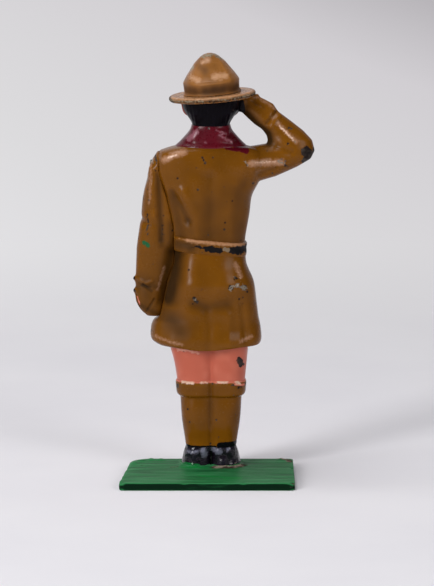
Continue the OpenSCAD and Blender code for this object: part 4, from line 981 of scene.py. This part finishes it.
# Wrinkles and the seam of the sleeve, the cuff and its buttons, and the fingers.
press(arm_cast, "back", ((10.6, 51.2), (12.6, 50.4), 0.7, 0.1), ((10.4, 48.0), (12.8, 48.6), 0.7, 0.12),
      ((9.9, 57.5), (9.5, 52.0), (9.3, 45.0), 0.6, 0.32),
      ((8.4, 54.0), (7.9, 49.0), (7.9, 45.0), 0.5, -0.12), ((11.2, 55.0), (11.4, 45.0), 1.2, -0.15),
      ((13.6, 37.4), (12.4, 36.6), (11.0, 37.2), 0.3, -0.2), ((13.2, 36.2), (11.4, 35.9), 0.25, 0.2))
press(arm_cast, "left", ((-1.8, 49.6), (1.6, 48.2), 0.7, 0.25), ((0.4, 37.4), 0.45, -0.45),
      ((0.4, 35.1), 0.55, -0.4))
sink(arm_cast, [(6.9, 42.4), (7.7, 38.0), (8.8, 33.4)], width=1.5, depth=1.3)
press(arm_cast, "back", ((11.2, 58.4), (11.0, 53.0), (10.7, 49.6), 0.6, -0.25))
for y in (-0.9, 0.0, 0.9):
    press(arm_cast, "left", ((y, 34.4), (y * 0.7, 30.6), 0.2, 0.25))
press(arm_cast, "back", ((12.8, 36.4), (11.1, 35.2), 0.3, 0.2), ((10.6, 33.6), (12.2, 31.2), 0.25, 0.2))
# The stud's head sits in a round recess in the shoulder.
recess_radius, recess_floor = 1.4, 11.42
arm_points, arm_normals = skin_of(arm_cast)
from_stud = np.hypot(arm_points[:, 1], arm_points[:, 2] - stud_height)
recess = (from_stud < recess_radius) & (arm_normals[:, 0] > 0)
arm_points[recess, 0] = np.minimum(arm_points[recess, 0], recess_floor)
reshape(arm_cast, arm_points)
# Painted shade along the sleeve's seam, in the hollow beside the skirt, under the cuff and on the hand.
paint_shade(arm_cast,
     back=[((9.9, 57.0), (9.5, 52.0), (9.3, 44.0), 0.7, 0.2), ((7.6, 48.0), (7.2, 43.0), 1.0, 0.2),
           ((7.4, 42.6), (8.2, 38.0), (9.2, 33.4), 1.5, 0.28), ((12.6, 36.6), (10.6, 36.0), 0.8, 0.25),
           ((13.4, 32.4), (10.4, 31.0), 0.9, 0.3), ((12.4, 36.0), (11.6, 32.4), 2.4, 0.22)])
brush(arm_cast, "green", back=[((12.5, 44.4), (11.9, 44.0), 0.35)])
brush(arm_cast, "black",
      left=[((0.4, 37.4), 0.3), ((0.4, 35.1), 0.3)],
      back=[((14.6, 37.5), 0.2), ((14.6, 35.2), 0.2)])
brush(arm_cast, "grey", back=[((11.4, 61.0), (10.9, 59.6), 0.05)])
brush(arm_cast, "pink",
      back=[((13.9, 33.9), (13.4, 32.6), 0.02)],
      left=[((-0.8, 34.0), (-1.2, 31.4), 0.5)],
      front=[((11.6, 35.4), (11.4, 31.0), 2.6)])
# Painted highlights on the outer part of the sleeve below the shoulder, and a painted light rim on the
# hand's inner edge.
brush(arm_cast, "rubbed_and_highlight",
      back=[((11.4, 60.4), (11.3, 57.0), (11.6, 52.0), -0.35),
            ((8.8, 39.8), (9.5, 37.4), (10.1, 35.4), -0.35)])
wear(arm_cast,
     left=[((2.2, 60.0), (2.4, 52.0), -0.1), ((2.4, 50.0), (2.5, 46.0), 0.05), ((0.6, 53.0), 0.25),
           ((-1.6, 44.0), 0.3)],
     back=[((10.6, 61.1), (10.2, 60.0), (10.0, 59.2), 0.15), ((11.1, 53.7), 0.08), ((12.4, 53.0), 0.0),
           ((13.6, 45.0), 0.1), ((14.4, 37.4), 0.15), ((14.3, 35.0), 0.15)],
     front=[((11.4, 47.0), 0.3)])
for name, cut in (("left_arm", above(wrist)), ("left_hand", below(wrist))):
    carve(arm_cast, name, khaki, [cut], "left_arm_swing")


# Shoulder stud
# The stud that the left arm turns on, its domed head sunk in the shoulder. Its inside is a guess.
# Bare type metal, burnished by the arm.
stud_profile = ((9.2, 0.85), (10.9, 0.85), (11.0, 1.25), (11.3, 1.3), (11.44, 1.15), (11.5, 0.7),
                (11.52, 0.2))
turn = once_round(48)
stud_loops = [np.stack([np.full_like(turn, x), r * np.cos(turn), stud_height + r * np.sin(turn)], 1)
              for x, r in stud_profile]
stud_cast = melt([shell(stud_loops)], grain=0.08, soften=3)
carve(stud_cast, "shoulder_stud", type_metal, name="domed_stud")


# Floor and backdrop
# A sheet of pale grey paper that runs flat under the plate and sweeps up behind the figure.
# It is matt, so it only keeps the soft shadow.
sweep_mesh = bpy.data.meshes.new("paper_sweep")
# In metres: the front edge, where the sheet starts to bend, the bend's radius, its top and half width.
sheet_front, bend_start, bend_round, sheet_top, sheet_half = 1.6, -0.9, 0.5, 2.5, 2.5
sweep_line = [(sheet_front, 0.0)]
for a in np.linspace(0, math.pi / 2, 24):
    sweep_line.append((bend_start - bend_round * math.sin(a), bend_round - bend_round * math.cos(a)))
sweep_line.append((bend_start - bend_round, sheet_top))
sweep_mesh.from_pydata([(x, y, z) for y, z in sweep_line for x in (-sheet_half, sheet_half)], [],
                       [(2 * k, 2 * k + 1, 2 * k + 3, 2 * k + 2) for k in range(len(sweep_line) - 1)])
for face in sweep_mesh.polygons:
    face.use_smooth = True
# Matt paper: faint clouds in its tone, drawn 40 mm wide because single fibres are too fine to show.
paper, paper_tree, paper_shader = shaded("pale_paper")
paper_place = add(paper_tree, "TexCoord", out="Object")
fibre = add(paper_tree, "TexNoise", {"Vector": paper_place, "Scale": 1 / (40 * MM), "Detail": 4.0})
paper_tones = (0.3, linear("#e9e7ec")), (0.7, linear("#eeecf0"))
paper_tone = add(paper_tree, "ValToRGB", {0: fibre}, stops=paper_tones)
paper_tree.links.new(paper_tone, paper_shader.inputs["Base Color"])
paper_shader.inputs["Roughness"].default_value = 0.9
# Away from the figure the sheet shows as a pale ground, for the camera and for reflections only, with
# painted shade that darkens it to the right and up the sweep.
lie = add(paper_tree, "SeparateXYZ", {0: paper_place}).node.outputs
ground = add(paper_tree, "MapRange", {0: lie["Y"], 1: 0.1, 2: -0.95, 3: 0.0, 4: 0.75})
aside = add(paper_tree, "Math", {0: lie["X"], 1: -2.9, 2: ground}, operation="MULTIPLY_ADD")
pale_tones = ((0.0, linear("#e5e4e7")), (0.26, linear("#dcdbdd")), (0.72, linear("#d1ced2")),
              (1.0, linear("#b6b3b7")))
pale = add(paper_tree, "ValToRGB", {0: aside}, stops=pale_tones)
glow = add(paper_tree, "Emission", {"Color": pale})
gone = add(paper_tree, "VectorMath", {0: paper_place}, operation="LENGTH", out="Value")
far = add(paper_tree, "MapRange", {0: gone, 1: 0.07, 2: 0.3, 3: 0.0, 4: 1.0},
          interpolation_type="SMOOTHSTEP")
path = add(paper_tree, "LightPath").node.outputs
seen = path["Is Camera Ray"]
for ray in ("Is Glossy Ray", "Is Transmission Ray"):
    seen = add(paper_tree, "Math", {0: seen, 1: path[ray]}, operation="MAXIMUM")
share = add(paper_tree, "Math", {0: far, 1: seen}, operation="MULTIPLY")
sheet = add(paper_tree, "MixShader", {0: share, 1: paper_shader.outputs[0], 2: glow})
paper_tree.links.new(sheet, paper_tree.nodes["Material Output"].inputs["Surface"])
sweep_mesh.materials.append(paper)
sweep = put("paper_sweep", sweep_mesh)


# Light and camera
# Two tall softboxes left and right of the camera, a larger one overhead, and an even pale room.
# The camera stands behind the figure and a little above it, with a long lens.
aim = np.array((0, 0, 0.045))
for name, place, size, power in (("left_box", (0.5, 0.58, 0.34), (0.16, 0.34), 3.5),
                                 ("right_box", (-0.48, 0.54, 0.36), (0.3, 0.36), 1.6),
                                 ("top_box", (0.2, 0.02, 0.76), (0.44, 0.44), 3.6)):
    lamp = bpy.data.lights.new(name, "AREA")
    lamp.shape, lamp.energy = "RECTANGLE", power
    lamp.size, lamp.size_y = size
    light = put(name, lamp)
    light.location = place
    x, y, z = np.array(place) - aim
    light.rotation_euler = (math.atan2(math.hypot(x, y), z), 0, math.atan2(x, -y))
room = bpy.data.worlds.new("pale_room")
room.use_nodes = True
walls = room.node_tree.nodes["Background"].inputs
walls["Color"].default_value, walls["Strength"].default_value = linear("#dcdce4"), 0.11
bpy.context.scene.world = room
lens = bpy.data.cameras.new("camera")
lens.lens, lens.sensor_width = 264.1, 36.0
camera = put("camera", lens)
camera.location = (-0.00188, 0.7944, 0.168)
looks_down = 9.475
camera.rotation_euler = (math.radians(90 - looks_down), 0, math.radians(180))
bpy.context.scene.camera = camera
bpy.context.scene.view_settings.view_transform = "Standard"
